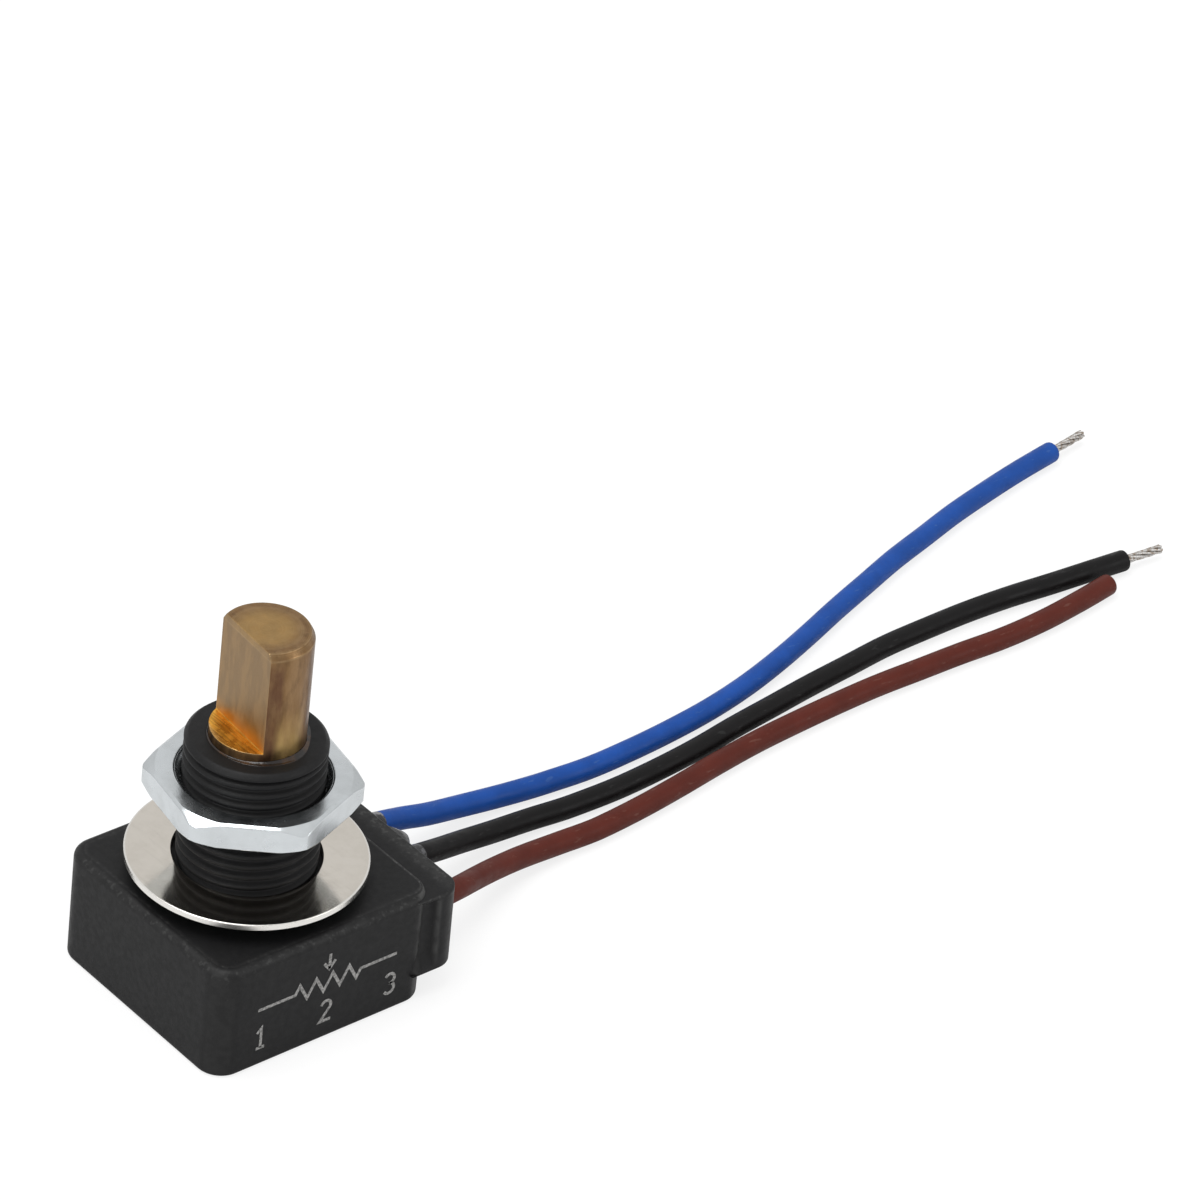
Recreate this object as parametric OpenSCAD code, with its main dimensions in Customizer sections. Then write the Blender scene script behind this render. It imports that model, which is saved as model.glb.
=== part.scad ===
// Panel-mount rotary potentiometer with a threaded bushing, a flatted shaft and three leads.
// Millimetres. The origin is on the shaft's axis at the back face of the body.
// +Z runs up the shaft and +X towards the leads.

/* [Body] */
// Length of the moulded body, in the direction of the leads
body_l = 17.6; // [16.4:0.1:24]
// Width of the moulded body
body_w = 17.2; // [16.4:0.1:24]
// Height of the moulded body
body_h = 8.4; // [7.6:0.1:12]
// Distance from the shaft's axis to the middle of the body, towards the leads
body_shift = 0.4; // [0:0.1:1]
// Radius of the upright corners
corner_r = 1.8; // [1:0.1:2.5]
// Radius round the top edge
edge_r = 0.6; // [0.3:0.1:0.9]
// Thickness of the side walls
wall = 1.2; // [1:0.1:1.4]
// Thickness of the roof
roof_t = 1.4; // [1:0.1:1.6]
// Diameter of the raised seat under the washer
seat_d = 12.4; // [10.5:0.1:15]
// Height of the raised seat
seat_h = 1.1; // [0.4:0.1:2]
// Thickness of the rear cover
cover_t = 1.0; // [0.8:0.1:1.2]

/* [Lead block] */
// Distance that the lead block stands out from the body
block_out = 2.2; // [1.6:0.05:3]
// Distance that the lead block stands out past each side of the body
block_over = 0.3; // [0:0.1:1]
// Height of the lead block's underside
block_z = 2.2; // [1.8:0.05:2.2]
// Step from the body's top down to the block's top
block_drop = 0.3; // [0.1:0.1:1]

/* [Bushing and nut] */
// Outer diameter of the bushing's thread
thread_d = 9.44; // [9:0.02:11.4]
// Length of the bushing above the raised seat
bushing_len = 9.8; // [7.5:0.1:14]
// Width of the nut across its flats
nut_af = 12.7; // [11.5:0.1:16]
// Depth by which the nut's corners are turned off
nut_corner = 0.12; // [0:0.01:0.4]
// Thickness of the nut
nut_t = 2.0; // [1.6:0.1:3]
// Height of the nut's underside above the washer
nut_rise = 4.4; // [0.1:0.1:5]
// Angle of one of the nut's flats about the shaft's axis
nut_turn = -10.5; // [-30:0.5:30]
// Outer diameter of the washer
washer_d = 16.1; // [14:0.1:18]
// Gap on the radius between the thread and the washer's hole
washer_gap = 0.23; // [0.1:0.01:0.4]
// Thickness of the washer
washer_t = 0.6; // [0.4:0.1:1]

/* [Shaft] */
// Diameter of the shaft
shaft_d = 6.35; // [5:0.05:7.7]
// Length of the shaft above the bushing
shaft_out = 8.3; // [5:0.1:20]
// Thickness of the shaft across its flat
flat_across = 4.6; // [3.6:0.1:7]
// Height of the flat's ledge above the bushing
ledge_rise = 0.3; // [0.1:0.1:3]
// Direction that the flat faces, about the shaft's axis
flat_turn = 175; // [160:1:200]
// Gap on the radius between the shaft and its bore
shaft_gap = 0.03; // [0.02:0.01:0.06]
// Mechanical travel of the shaft in degrees
travel = 300; // [240:5:310]

/* [Element and wiper] */
// Thickness of the element board
board_t = 0.8; // [0.6:0.1:1]
// Middle radius of the resistive track
track_r = 5.0; // [4.7:0.1:5.4]
// Middle radius of the collector track
collector_r = 3.2; // [3:0.1:3.5]
// Gap on the radius between the rotor and the nearest side wall
rotor_gap = 0.7; // [0.5:0.1:1]

/* [Leads] */
// Outer diameter of a lead
lead_d = 1.6; // [1.2:0.1:2]
// Diameter of a lead's bare conductor
core_d = 0.65; // [0.4:0.05:0.9]
// Distance between neighbouring leads at the block
lead_pitch = 4.4; // [3.4:0.1:5]
// Height of the leads where they leave the block
lead_z = 3.9; // [3.5:0.1:4.5]

/* [Hidden] */
$fn = 64;

// Clearances
cover_gap = 0.05;      // round the rear cover and the element board
end_gap = 0.05;        // between stacked pieces on the shaft
nut_gap = 0.05;        // on the radius between the thread's crests and the nut
contact_gap = 0.05;    // under the wiper's contacts
slot_gap = 0.04;       // round a terminal or a lead in its slot

// Outer faces of the body
body_x0 = body_shift - body_l / 2;
body_x1 = body_shift + body_l / 2;
body_y = body_w / 2;
foot_r = 0.3;          // radius round the back edge

// Cavity, with a deeper step at the back for the cover
roof_z = body_h - roof_t;
cavity_r = 0.8;
cover_lip = 0.5;       // width of the ledge that the cover lies against
board_top = cover_t + board_t;

// Levels up the bushing
seat_z = body_h + seat_h;
bushing_z = seat_z + bushing_len;
shaft_r = shaft_d / 2;
shaft_z = bushing_z + shaft_out;
bore_r = shaft_r + shaft_gap;
thread_end = 0.25;     // chamfer at the bushing's mouth

// Nut
nut_z = seat_z + washer_t + nut_rise;
nut_bore_r = thread_d / 2 + nut_gap;
nut_face_r = nut_af / 2 * 0.985;
nut_corner_r = nut_af / 2 / cos(30) - nut_corner;
nut_sink = min(0.48, 0.4 * (nut_face_r - nut_bore_r));   // depth of the countersinks

// Lead block and its resin
block_x0 = body_x1 - 1.05;
block_x1 = body_x1 + block_out;
block_z1 = body_h - block_drop;
block_w = body_w + 2 * block_over;
block_wall = 1.7;      // at the block's ends
block_corner = 1.6;    // radius of the outer upright corners
block_inner = 0.3;     // radius of the upright corners beside the body
block_edge = 0.2;      // radius round the top
block_foot = 0.15;     // radius round the underside
notch = [0.7, 0.4];    // width and depth of the upright notch in each end of the block
notch_x = body_x1 - 0.5;
notch_z0 = block_z + 1.85;
notch_z1 = block_z1 - 0.6;
pocket_y = block_w / 2 - block_wall;
pocket_z0 = block_z + 0.45;
pocket_z1 = block_z1 - 1.0;
seal_x1 = block_x1 - 0.2;

// Shaft below the roof, from the roof down: thrust washer, clip, rotor
thrust_t = 0.4;
clip_t = 0.5;
thrust_z = roof_z - end_gap - thrust_t;
clip_z = thrust_z - end_gap - clip_t;
clip_groove_r = shaft_r - 0.55;
hub_top = clip_z - 0.1;
collar_h = 0.4;        // full-diameter collar under the clip's groove
collar_z = hub_top - collar_h;
stub_r = 2.2;          // driving end of the shaft, with two flats
stub_flat = 1.7;
wiper_t = 0.2;
rotor_z = board_top + 1.3;
disc_t = 1.2;          // thickness of the rotor's disc
stub_z = rotor_z - 0.35;

// Shaft seal, near the mouth of the bushing
ring_cord = 0.8;       // thickness of the seal
ring_r = shaft_r - ring_cord / 2;
ring_z = bushing_z - 2.5;
ring_groove_r = shaft_r - ring_cord - 0.02;
ring_groove_h = 1.1;

// Rotor, with a lug that strikes a post under the roof
rotor_r = min(body_l / 2 - body_shift, body_y) - wall - rotor_gap;
stop_r0 = rotor_r - 1.3;
stop_r1 = rotor_r - 0.1;
hub_r = min(shaft_r + 0.9, stop_r0 - 0.2);
thrust_r = min(shaft_r + 1.2, stop_r0 - 0.1);
clip_r = min(shaft_r + 1.0, stop_r0 - 0.2);
lug_half = 11.7;
post_half = (360 - travel) / 2 - 12;
lug_top = roof_z - 0.3;
post_z = rotor_z + disc_t + 0.3;

// Wiper: a washer on two pegs, with two sprung fingers
peg_turns = [140, 220];
peg_at = 3.5;
peg_r = 0.38;
finger_w = 0.6;
finger_root = 2.8;     // distance from a contact to the root of its finger
contact_r = 0.25;

// Tracks and terminals
track_t = 0.1;
track_w = 1.0;
collector_w = 0.8;
track_gap = 50;        // angle left open between the track's ends
tab_w = 1.0;
tab_x = body_x1 - wall - 0.4;
rivet_x = tab_x - 0.7;
rivet_r = 0.35;
term_t = 0.3;
term_w = 1.0;
term_z = lead_z - 0.45;
term_x1 = body_x1 + 0.7;

// Length of each bare end
core_blue_len = 3.7;
core_black_len = 3.4;
core_brown_len = 0.3;

// Routes of the leads outside the block: x, y and the height of the lead's underside.
// Each leaves level, comes down and lies on the surface.
route_blue = [
    [13, 4.4, 3], [15, 4.52, 2.68], [17.5, 4.88, 1.92], [20, 5.06, 1.19], [23, 5.25, 0.55],
    [26.5, 5.1, 0.15], [30, 4.8, 0], [34, 4.5, 0], [38, 4.6, 0], [42, 4.9, 0], [46, 5.4, 0],
    [50, 6.2, 0], [54, 7.3, 0], [58, 8.6, 0], [62, 10, 0], [66, 11.3, 0], [70, 12.6, 0],
    [74, 13.7, 0], [78, 14.8, 0], [82, 15.7, 0], [86, 16.5, 0], [90.3, 17.2, 0]];
route_black = [
    [13, 0, 3], [15, 0.22, 2.68], [17.5, 0.78, 1.92], [20, 1.36, 1.19], [23, 1.75, 0.55],
    [26.5, 1.9, 0.15], [30, 1.7, 0], [34, 1.6, 0], [38, 1.8, 0], [42, 2.2, 0], [46, 2.8, 0],
    [50, 3.3, 0], [54, 3.8, 0], [58, 4.2, 0], [62, 4.6, 0], [66, 4.7, 0], [70, 4.7, 0],
    [74, 4.5, 0], [78, 4.1, 0], [81.5, 3.8, 0], [84.8, 3.5, 0]];
route_brown = [
    [13, -4.5, 3], [15, -4.08, 2.68], [17.5, -3.12, 1.92], [20, -2.24, 1.19], [23, -1.55, 0.55],
    [26.5, -1.3, 0.15], [30, -1.3, 0], [34, -1, 0], [38, -0.5, 0], [42, 0.1, 0], [46, 0.6, 0],
    [50, 0.9, 0], [54, 1.1, 0], [58, 1.2, 0], [62, 1.1, 0], [66, 1, 0], [70, 0.8, 0], [74, 0.9, 0],
    [78, 1.3, 0], [81.6, 1.8, 0]];

// ---- helpers ----

// Points of a quarter turn about c, from angle a to a + 90
function quarter(c, r, a, n = 4) = [for (i = [0:n]) c + r * [cos(a + 90 * i / n), sin(a + 90 * i / n)]];

// Box between two corners with rounded top and bottom edges. Its upright corners have
// radius r0 on the side away from the leads and r1 on the side towards them.
module soft_box(lo, hi, r0, r1, top_r, foot_r) {
    h = hi[2] - lo[2];
    hull()
        for (end = [[lo[0] + r0, r0], [hi[0] - r1, r1]], side = [-1, 1]) {
            r = end[1];
            y = side > 0 ? hi[1] - r : lo[1] + r;
            translate([end[0], y, lo[2]]) rotate_extrude($fn = 32)
                polygon(concat([[0, 0]], quarter([r - foot_r, foot_r], foot_r, -90),
                    quarter([r - top_r, h - top_r], top_r, 0), [[0, h]]));
        }
}

// Plate between two corners, with round corners
module round_plate(lo, hi, r, h) {
    linear_extrude(h) {
        translate([lo[0] + r, lo[1]]) square([hi[0] - lo[0] - 2 * r, hi[1] - lo[1]]);
        translate([lo[0], lo[1] + r]) square([hi[0] - lo[0], hi[1] - lo[1] - 2 * r]);
        for (x = [lo[0] + r, hi[0] - r], y = [lo[1] + r, hi[1] - r])
            translate([x, y]) circle(r);
    }
}

// Plate that fills the cavity, less a gap, from height z; grow widens it to the cover's step
module cavity_plate(z, h, gap, grow = 0) {
    translate([0, 0, z])
        round_plate([body_x0 + wall - grow + gap, -body_y + wall - grow + gap],
            [body_x1 - wall + grow - gap, body_y - wall + grow - gap], cavity_r, h);
}

module ring(r_out, r_in, h) {
    difference() {
        cylinder(r = r_out, h = h);
        translate([0, 0, -1]) cylinder(r = r_in, h = h + 2);
    }
}

// Block that follows an arc, centred on angle a
module arc_block(r0, r1, half, z0, z1, a) {
    rotate([0, 0, a - half]) translate([0, 0, z0])
        rotate_extrude(angle = 2 * half) translate([r0, 0]) square([r1 - r0, z1 - z0]);
}

function unit(v) = v / norm(v);
function heading(p, i) = unit(p[min(i + 1, len(p) - 1)] - p[max(i - 1, 0)]);

// Eight-sided tube along the points p
module tube(p, d) {
    sides = 8;
    last = len(p) - 1;
    points = [for (i = [0:last])
        let (t = heading(p, i), s = unit(cross([0, 0, 1], t)), u = cross(t, s))
            for (k = [0:sides - 1]) p[i] + d / 2 * (cos(360 * k / sides) * s + sin(360 * k / sides) * u)];
    skin = [for (i = [0:last - 1], k = [0:sides - 1])
        let (n = (k + 1) % sides) [i * sides + k, (i + 1) * sides + k, (i + 1) * sides + n, i * sides + n]];
    caps = [[for (k = [0:sides - 1]) k], [for (k = [sides - 1:-1:0]) last * sides + k]];
    polyhedron(points, concat(skin, caps), convexity = 4);
}

// Whole route of a lead: it starts at its terminal and takes the points that lie outside the block
function lead_path(y, route) = concat([[term_x1 + end_gap, y, lead_z], [block_x1 + 0.3, y, lead_z]],
    [for (q = route) if (q[0] > block_x1 + 1.5) [q[0], q[1], q[2] + lead_d / 2]]);

// Bare conductor that carries on from the end of a route
module bare_end(route, length) {
    tip = route[len(route) - 1];
    way = heading(route, len(route) - 1);
    translate([tip[0], tip[1], lead_d / 2]) rotate([0, 90, atan2(way[1], way[0])])
        cylinder(d = core_d, h = length, $fn = 24);
}

// ---- moulded and metal pieces ----

module housing() {
    color("dimgray") {
        difference() {
            union() {
                soft_box([body_x0, -body_y, 0], [body_x1, body_y, body_h],
                    corner_r, corner_r, edge_r, foot_r);
                soft_box([block_x0, -block_w / 2, block_z], [block_x1, block_w / 2, block_z1],
                    block_inner, block_corner, block_edge, block_foot);
                translate([0, 0, body_h - 0.5]) cylinder(d = seat_d, h = seat_h + 0.5);
                cylinder(d = thread_d, h = bushing_z - thread_end);
                translate([0, 0, bushing_z - thread_end])
                    cylinder(r1 = thread_d / 2, r2 = thread_d / 2 - thread_end, h = thread_end);
            }
            cavity_plate(-1, roof_z + 1, 0);
            cavity_plate(-1, cover_t + 1, 0, cover_lip);
            cylinder(r = bore_r, h = bushing_z + 1);
            translate([body_x1, -pocket_y, pocket_z0])
                cube([block_out + 1, 2 * pocket_y, pocket_z1 - pocket_z0]);
            for (i = [-1:1]) terminal_slot(i, body_x1 - wall - 0.2, body_x1 + 0.2);
            for (side = [-1, 1])
                translate([notch_x, side * block_w / 2 - notch[1], notch_z0])
                    cube([notch[0], 2 * notch[1], notch_z1 - notch_z0]);
        }
        arc_block(stop_r0, stop_r1, post_half, post_z, roof_z + 0.2, 0);
    }
}

// Slot for terminal i through a wall that spans x0 to x1
module terminal_slot(i, x0, x1) {
    translate([x0, i * lead_pitch - term_w / 2 - slot_gap, term_z - slot_gap])
        cube([x1 - x0, term_w + 2 * slot_gap, term_t + 2 * slot_gap]);
}

module rear_cover() {
    color("darkslategray") cavity_plate(0, cover_t, cover_gap, cover_lip);
}

module lead_seal() {
    color("black")
        difference() {
            translate([body_x1, -pocket_y, pocket_z0])
                cube([seal_x1 - body_x1, 2 * pocket_y, pocket_z1 - pocket_z0]);
            for (i = [-1:1]) {
                terminal_slot(i, body_x1 - 1, term_x1 + end_gap);
                translate([term_x1 + end_gap, i * lead_pitch, lead_z]) rotate([0, 90, 0])
                    cylinder(r = lead_d / 2 + slot_gap, h = block_out + 1);
            }
        }
}

module mounting_nut() {
    blunt = (nut_corner_r - nut_face_r) * tan(30);
    color("silver")
        translate([0, 0, nut_z]) rotate([0, 0, nut_turn - 30])
            difference() {
                intersection() {
                    cylinder(d = nut_af / cos(30), h = nut_t, $fn = 6);
                    rotate_extrude() polygon([[0, 0], [nut_face_r, 0], [nut_corner_r, blunt],
                        [nut_corner_r, nut_t - blunt], [nut_face_r, nut_t], [0, nut_t]]);
                }
                translate([0, 0, -1]) cylinder(r = nut_bore_r, h = nut_t + 2);
                translate([0, 0, -0.01])
                    cylinder(r1 = nut_bore_r + nut_sink, r2 = nut_bore_r, h = nut_sink);
                translate([0, 0, nut_t - nut_sink + 0.01])
                    cylinder(r1 = nut_bore_r, r2 = nut_bore_r + nut_sink, h = nut_sink);
            }
}

module flat_washer() {
    edge = 0.12;
    hole_r = thread_d / 2 + washer_gap;
    color("lightgray")
        translate([0, 0, seat_z])
            rotate_extrude() polygon([[hole_r, 0], [washer_d / 2, 0], [washer_d / 2, washer_t - edge],
                [washer_d / 2 - edge, washer_t], [hole_r + edge / 2, washer_t],
                [hole_r, washer_t - edge / 2]]);
}

module shaft() {
    tip = 0.15;
    flat_at = flat_across - shaft_r;
    ledge_z = bushing_z + ledge_rise;
    color("darkgoldenrod")
        rotate([0, 0, flat_turn]) {
            difference() {
                rotate_extrude() polygon([
                    [0, collar_z], [shaft_r, collar_z], [shaft_r, clip_z - 0.02], [clip_groove_r, clip_z - 0.02],
                    [clip_groove_r, clip_z + clip_t + 0.02], [shaft_r, clip_z + clip_t + 0.02],
                    [shaft_r, ring_z - ring_groove_h / 2], [ring_groove_r, ring_z - ring_groove_h / 2],
                    [ring_groove_r, ring_z + ring_groove_h / 2], [shaft_r, ring_z + ring_groove_h / 2],
                    [shaft_r, shaft_z - 2 * tip], [shaft_r - tip, shaft_z], [0, shaft_z]]);
                translate([flat_at, -shaft_r - 1, ledge_z]) cube([shaft_r, shaft_d + 2, shaft_out + 1]);
            }
            driving_end(0, collar_z + 0.2);
        }
}

// End of the shaft with two flats, up to height top; grow widens it to the hole that it fits
module driving_end(grow, top) {
    intersection() {
        translate([0, 0, stub_z]) cylinder(r = stub_r + grow, h = top - stub_z);
        translate([-stub_flat - grow, -stub_r - 1, stub_z])
            cube([2 * (stub_flat + grow), 2 * stub_r + 2, top - stub_z]);
    }
}

module shaft_o_ring() {
    color("black") translate([0, 0, ring_z]) rotate_extrude() translate([ring_r, 0]) circle(d = ring_cord);
}

module thrust_washer() {
    color("gainsboro") translate([0, 0, thrust_z]) ring(thrust_r, shaft_r + end_gap, thrust_t);
}

module retaining_clip() {
    color("gray")
        rotate([0, 0, flat_turn]) translate([0, 0, clip_z])
            difference() {
                ring(clip_r, clip_groove_r + 0.02, clip_t);
                translate([0, -clip_groove_r + 0.4, -1]) cube([shaft_r + 2, 2 * clip_groove_r - 0.8, clip_t + 2]);
            }
}

module rotor() {
    color("ivory")
        rotate([0, 0, flat_turn]) {
            difference() {
                union() {
                    translate([0, 0, rotor_z]) cylinder(r = rotor_r, h = disc_t);
                    translate([0, 0, rotor_z]) cylinder(r = hub_r, h = hub_top - rotor_z);
                    arc_block(stop_r0, stop_r1, lug_half, rotor_z, lug_top, 0);
                }
                translate([0, 0, collar_z]) cylinder(r = shaft_r + 0.02, h = collar_h + 1);
                driving_end(0.02, collar_z + 0.2);
            }
            for (a = peg_turns)
                rotate([0, 0, a]) translate([peg_at, 0, rotor_z - wiper_t - 0.1])
                    cylinder(r = peg_r, h = wiper_t + 0.2, $fn = 24);
        }
}

// ---- electrical pieces ----

// One sprung finger, at radius r, that slopes down to its contact
module finger(r) {
    root_z = rotor_z - wiper_t - 0.03;
    contact_z = board_top + track_t + contact_gap + contact_r;
    slope = atan((root_z + wiper_t / 2 - contact_z) / finger_root);
    reach = finger_root / cos(slope);
    translate([r - finger_w / 2, finger_root, root_z]) rotate([slope, 0, 0])
        translate([0, -reach, 0]) cube([finger_w, reach + 0.1, wiper_t]);
    translate([r - finger_w / 2, 0, contact_z]) rotate([0, 90, 0])
        cylinder(r = contact_r, h = finger_w, $fn = 24);
}

module wiper() {
    color("goldenrod")
        rotate([0, 0, flat_turn]) {
            translate([0, 0, rotor_z - wiper_t])
                difference() {
                    union() {
                        cylinder(r = 4.3, h = wiper_t);
                        translate([1.5, finger_root, 0])
                            cube([track_r + finger_w / 2 - 1.5, 0.7, wiper_t]);
                    }
                    translate([0, 0, -1]) cylinder(r = stub_r + 0.15, h = wiper_t + 2);
                    translate([1.2, -2, -1]) cube([4, finger_root + 2, wiper_t + 2]);
                    for (a = peg_turns)
                        rotate([0, 0, a]) translate([peg_at, 0, -1])
                            cylinder(r = peg_r + 0.04, h = wiper_t + 2, $fn = 24);
                }
            finger(track_r);
            finger(collector_r);
        }
}

// Rivet holes of the terminals, for those in the list
module rivet_holes(which) {
    for (i = which)
        translate([rivet_x, i * lead_pitch, 0]) cylinder(r = rivet_r + 0.02, h = body_h, $fn = 24);
}

module element_board() {
    color("saddlebrown")
        difference() {
            cavity_plate(cover_t, board_t, cover_gap);
            rivet_holes([-1:1]);
        }
}

module resistive_track() {
    r0 = track_r - track_w / 2;
    r1 = track_r + track_w / 2;
    half = track_gap / 2;
    tab_a = half + 3;      // a tab starts a few degrees inside the film's end
    tab = [(r0 + 0.2) * [cos(tab_a), sin(tab_a)], (r1 - 0.1) * [cos(tab_a), sin(tab_a)],
        [tab_x - 1.4, lead_pitch - tab_w / 2], [tab_x, lead_pitch - tab_w / 2],
        [tab_x, lead_pitch + tab_w / 2], [tab_x - 2, lead_pitch + tab_w / 2],
        (r0 + 0.2) * [cos(tab_a + 8), sin(tab_a + 8)]];
    color("black")
        difference() {
            translate([0, 0, board_top]) linear_extrude(track_t) {
                difference() {
                    circle(r1);
                    circle(r0);
                    polygon([[0, 0], [9 * cos(half), -9 * sin(half)], [9 * cos(half), 9 * sin(half)]]);
                }
                polygon(tab);
                polygon([for (i = [len(tab) - 1:-1:0]) [tab[i][0], -tab[i][1]]]);
            }
            rivet_holes([-1, 1]);
        }
}

module collector_track() {
    color("silver")
        difference() {
            translate([0, 0, board_top]) linear_extrude(track_t) {
                difference() {
                    circle(collector_r + collector_w / 2);
                    circle(collector_r - collector_w / 2);
                }
                translate([collector_r, -tab_w / 2]) square([tab_x - collector_r, tab_w]);
            }
            rivet_holes([0]);
        }
}

// Terminal strip i: a riveted foot, a riser and a tail that passes through the wall to the lead
module terminal(i) {
    foot_z = board_top + track_t;
    foot_len = 1.4;
    color("lightsteelblue")
        translate([0, i * lead_pitch, 0]) {
            translate([tab_x - foot_len, -term_w / 2, foot_z]) cube([foot_len, term_w, term_t]);
            translate([tab_x - term_t, -term_w / 2, foot_z]) cube([term_t, term_w, term_z + term_t - foot_z]);
            translate([tab_x - term_t, -term_w / 2, term_z]) cube([term_x1 - tab_x + term_t, term_w, term_t]);
            translate([rivet_x, 0, cover_t]) cylinder(r = rivet_r, h = foot_z - cover_t + 0.1, $fn = 24);
        }
}

module terminal_1() terminal(1);
module terminal_2() terminal(0);
module terminal_3() terminal(-1);

// ---- leads ----

module lead_blue() { color("royalblue") tube(lead_path(lead_pitch, route_blue), lead_d); }
module lead_black() { color("black") tube(lead_path(0, route_black), lead_d); }
module lead_brown() { color("saddlebrown") tube(lead_path(-lead_pitch, route_brown), lead_d); }
module core_blue() { color("silver") bare_end(route_blue, core_blue_len); }
module core_black() { color("silver") bare_end(route_black, core_black_len); }
module core_brown() { color("silver") bare_end(route_brown, core_brown_len); }

housing();
rear_cover();
lead_seal();
mounting_nut();
flat_washer();
shaft();
shaft_o_ring();
thrust_washer();
retaining_clip();
rotor();
wiper();
element_board();
resistive_track();
collector_track();
terminal_1();
terminal_2();
terminal_3();
lead_blue();
lead_black();
lead_brown();
core_blue();
core_black();
core_brown();
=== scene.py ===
import bpy, bmesh, math
import numpy as np
from mathutils import Matrix, Vector


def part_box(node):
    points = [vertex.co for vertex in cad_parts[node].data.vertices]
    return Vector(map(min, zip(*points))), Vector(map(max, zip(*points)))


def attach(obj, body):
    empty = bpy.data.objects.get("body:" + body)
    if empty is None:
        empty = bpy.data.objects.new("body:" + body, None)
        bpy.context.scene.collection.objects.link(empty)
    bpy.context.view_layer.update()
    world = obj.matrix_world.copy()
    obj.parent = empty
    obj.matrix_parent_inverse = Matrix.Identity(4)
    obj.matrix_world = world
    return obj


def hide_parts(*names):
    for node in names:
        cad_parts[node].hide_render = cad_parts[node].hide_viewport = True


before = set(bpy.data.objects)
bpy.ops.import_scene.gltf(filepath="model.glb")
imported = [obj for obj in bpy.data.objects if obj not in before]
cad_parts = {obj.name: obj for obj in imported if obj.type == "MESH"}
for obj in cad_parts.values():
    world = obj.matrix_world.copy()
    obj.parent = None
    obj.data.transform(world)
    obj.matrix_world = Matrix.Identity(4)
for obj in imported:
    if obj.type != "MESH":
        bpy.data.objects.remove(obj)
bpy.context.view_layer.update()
scene = bpy.context.scene
mm = 0.001  # pieces are worked out in millimetres and stored in metres


class Sizes(dict):
    # a dictionary whose values can also be read as sizes.width
    __getattr__ = dict.__getitem__


def corners(name):
    return [np.array(corner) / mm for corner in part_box(name)]


houseLo, houseHi = corners("housing")
sealLo = corners("lead_seal")[0]
coverLo, coverHi = corners("rear_cover")
washerLo, washerHi = corners("flat_washer")
nutLo, nutHi = corners("mounting_nut")
shaftLo, shaftHi = corners("shaft")


# small tools for meshes
def smooth(a, b, x):
    t = np.clip((np.asarray(x, float) - a) / (b - a), 0, 1)
    return t * t * (3 - 2 * t)


def arc(cx, cy, r, a0, a1, steps):
    t = np.radians(np.linspace(a0, a1, steps + 1))
    return [(cx + r * math.cos(a), cy + r * math.sin(a)) for a in t]


def allRound(count):
    return np.arange(count) * 2 * math.pi / count


def tidyFaces(data, sharp):
    bm = bmesh.new()
    bm.from_mesh(data)
    bmesh.ops.recalc_face_normals(bm, faces=bm.faces)
    bm.to_mesh(data)
    bm.free()
    data.shade_smooth()
    data.set_sharp_from_angle(angle=math.radians(sharp))


def placed(name, data):
    obj = bpy.data.objects.new(name, data)
    scene.collection.objects.link(obj)
    return obj


def meshObject(name, verts, faces, sharp=34, **layers):
    data = bpy.data.meshes.new(name)
    data.from_pydata((np.asarray(verts, float) * mm).tolist(), [], faces)
    for key, values in layers.items():
        data.attributes.new(key, "FLOAT", "POINT").data.foreach_set("value", np.asarray(values, np.float32))
    tidyFaces(data, sharp)
    return placed(name, data)


def loft(name, rings, loop=False, sharp=34, **layers):
    # rings of equal counts, joined in order; loop joins the last to the first, otherwise both ends are closed
    n, count = len(rings[0]), len(rings)
    verts, faces = np.concatenate(rings), []
    full = {key: np.concatenate([np.broadcast_to(v, n) for v in values]) for key, values in layers.items()}
    for i in range(count if loop else count - 1):
        a, b = i * n, (i + 1) % count * n
        faces += [(a + k, a + (k + 1) % n, b + (k + 1) % n, b + k) for k in range(n)]
    if not loop:
        for start in (0, (count - 1) * n):
            verts = np.vstack([verts, verts[start:start + n].mean(0)])
            faces += [(start + (k + 1) % n, start + k, len(verts) - 1) for k in range(n)]
        full = {key: np.append(values, values[[0, -1]]) for key, values in full.items()}
    return meshObject(name, verts, faces, sharp, **full)


def ringAt(angles, radius, z):
    return np.stack([radius * np.cos(angles), radius * np.sin(angles), np.broadcast_to(z, len(angles))], 1)


def finish(obj, body, slot, material, *stoodFor):
    obj.data.materials.clear()
    obj.data.materials.append(material)
    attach(obj, body)
    if stoodFor:
        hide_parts(*stoodFor)


# small tools for node trees, which all work on the tree that was opened last
opened = {}


class Value:
    # an output of a node, ready for sums; value["name"] is another output of the same node
    def __init__(self, socket):
        self.socket = socket

    def __getitem__(self, key):
        return Value(self.socket.node.outputs[key])

    def __add__(self, other):
        return calc("ADD", self, other)

    def __sub__(self, other):
        return calc("SUBTRACT", self, other)

    def __rsub__(self, other):
        return calc("SUBTRACT", other, self)

    def __mul__(self, other):
        return calc("MULTIPLY", self, other)

    def __truediv__(self, other):
        return calc("DIVIDE", self, other)

    def __rtruediv__(self, other):
        return calc("DIVIDE", other, self)


def node(kind, wires=None, **props):
    made = opened["tree"].nodes.new(kind)
    for key, value in props.items():
        setattr(made, key, value)
    for key, value in (wires or {}).items():
        if isinstance(value, Value):
            opened["tree"].links.new(value.socket, made.inputs[key])
        else:
            made.inputs[key].default_value = value
    return Value(made.outputs[0]) if made.outputs else None


def calc(operation, *values):
    return node("ShaderNodeMath", dict(enumerate(values)), operation=operation)


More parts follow.
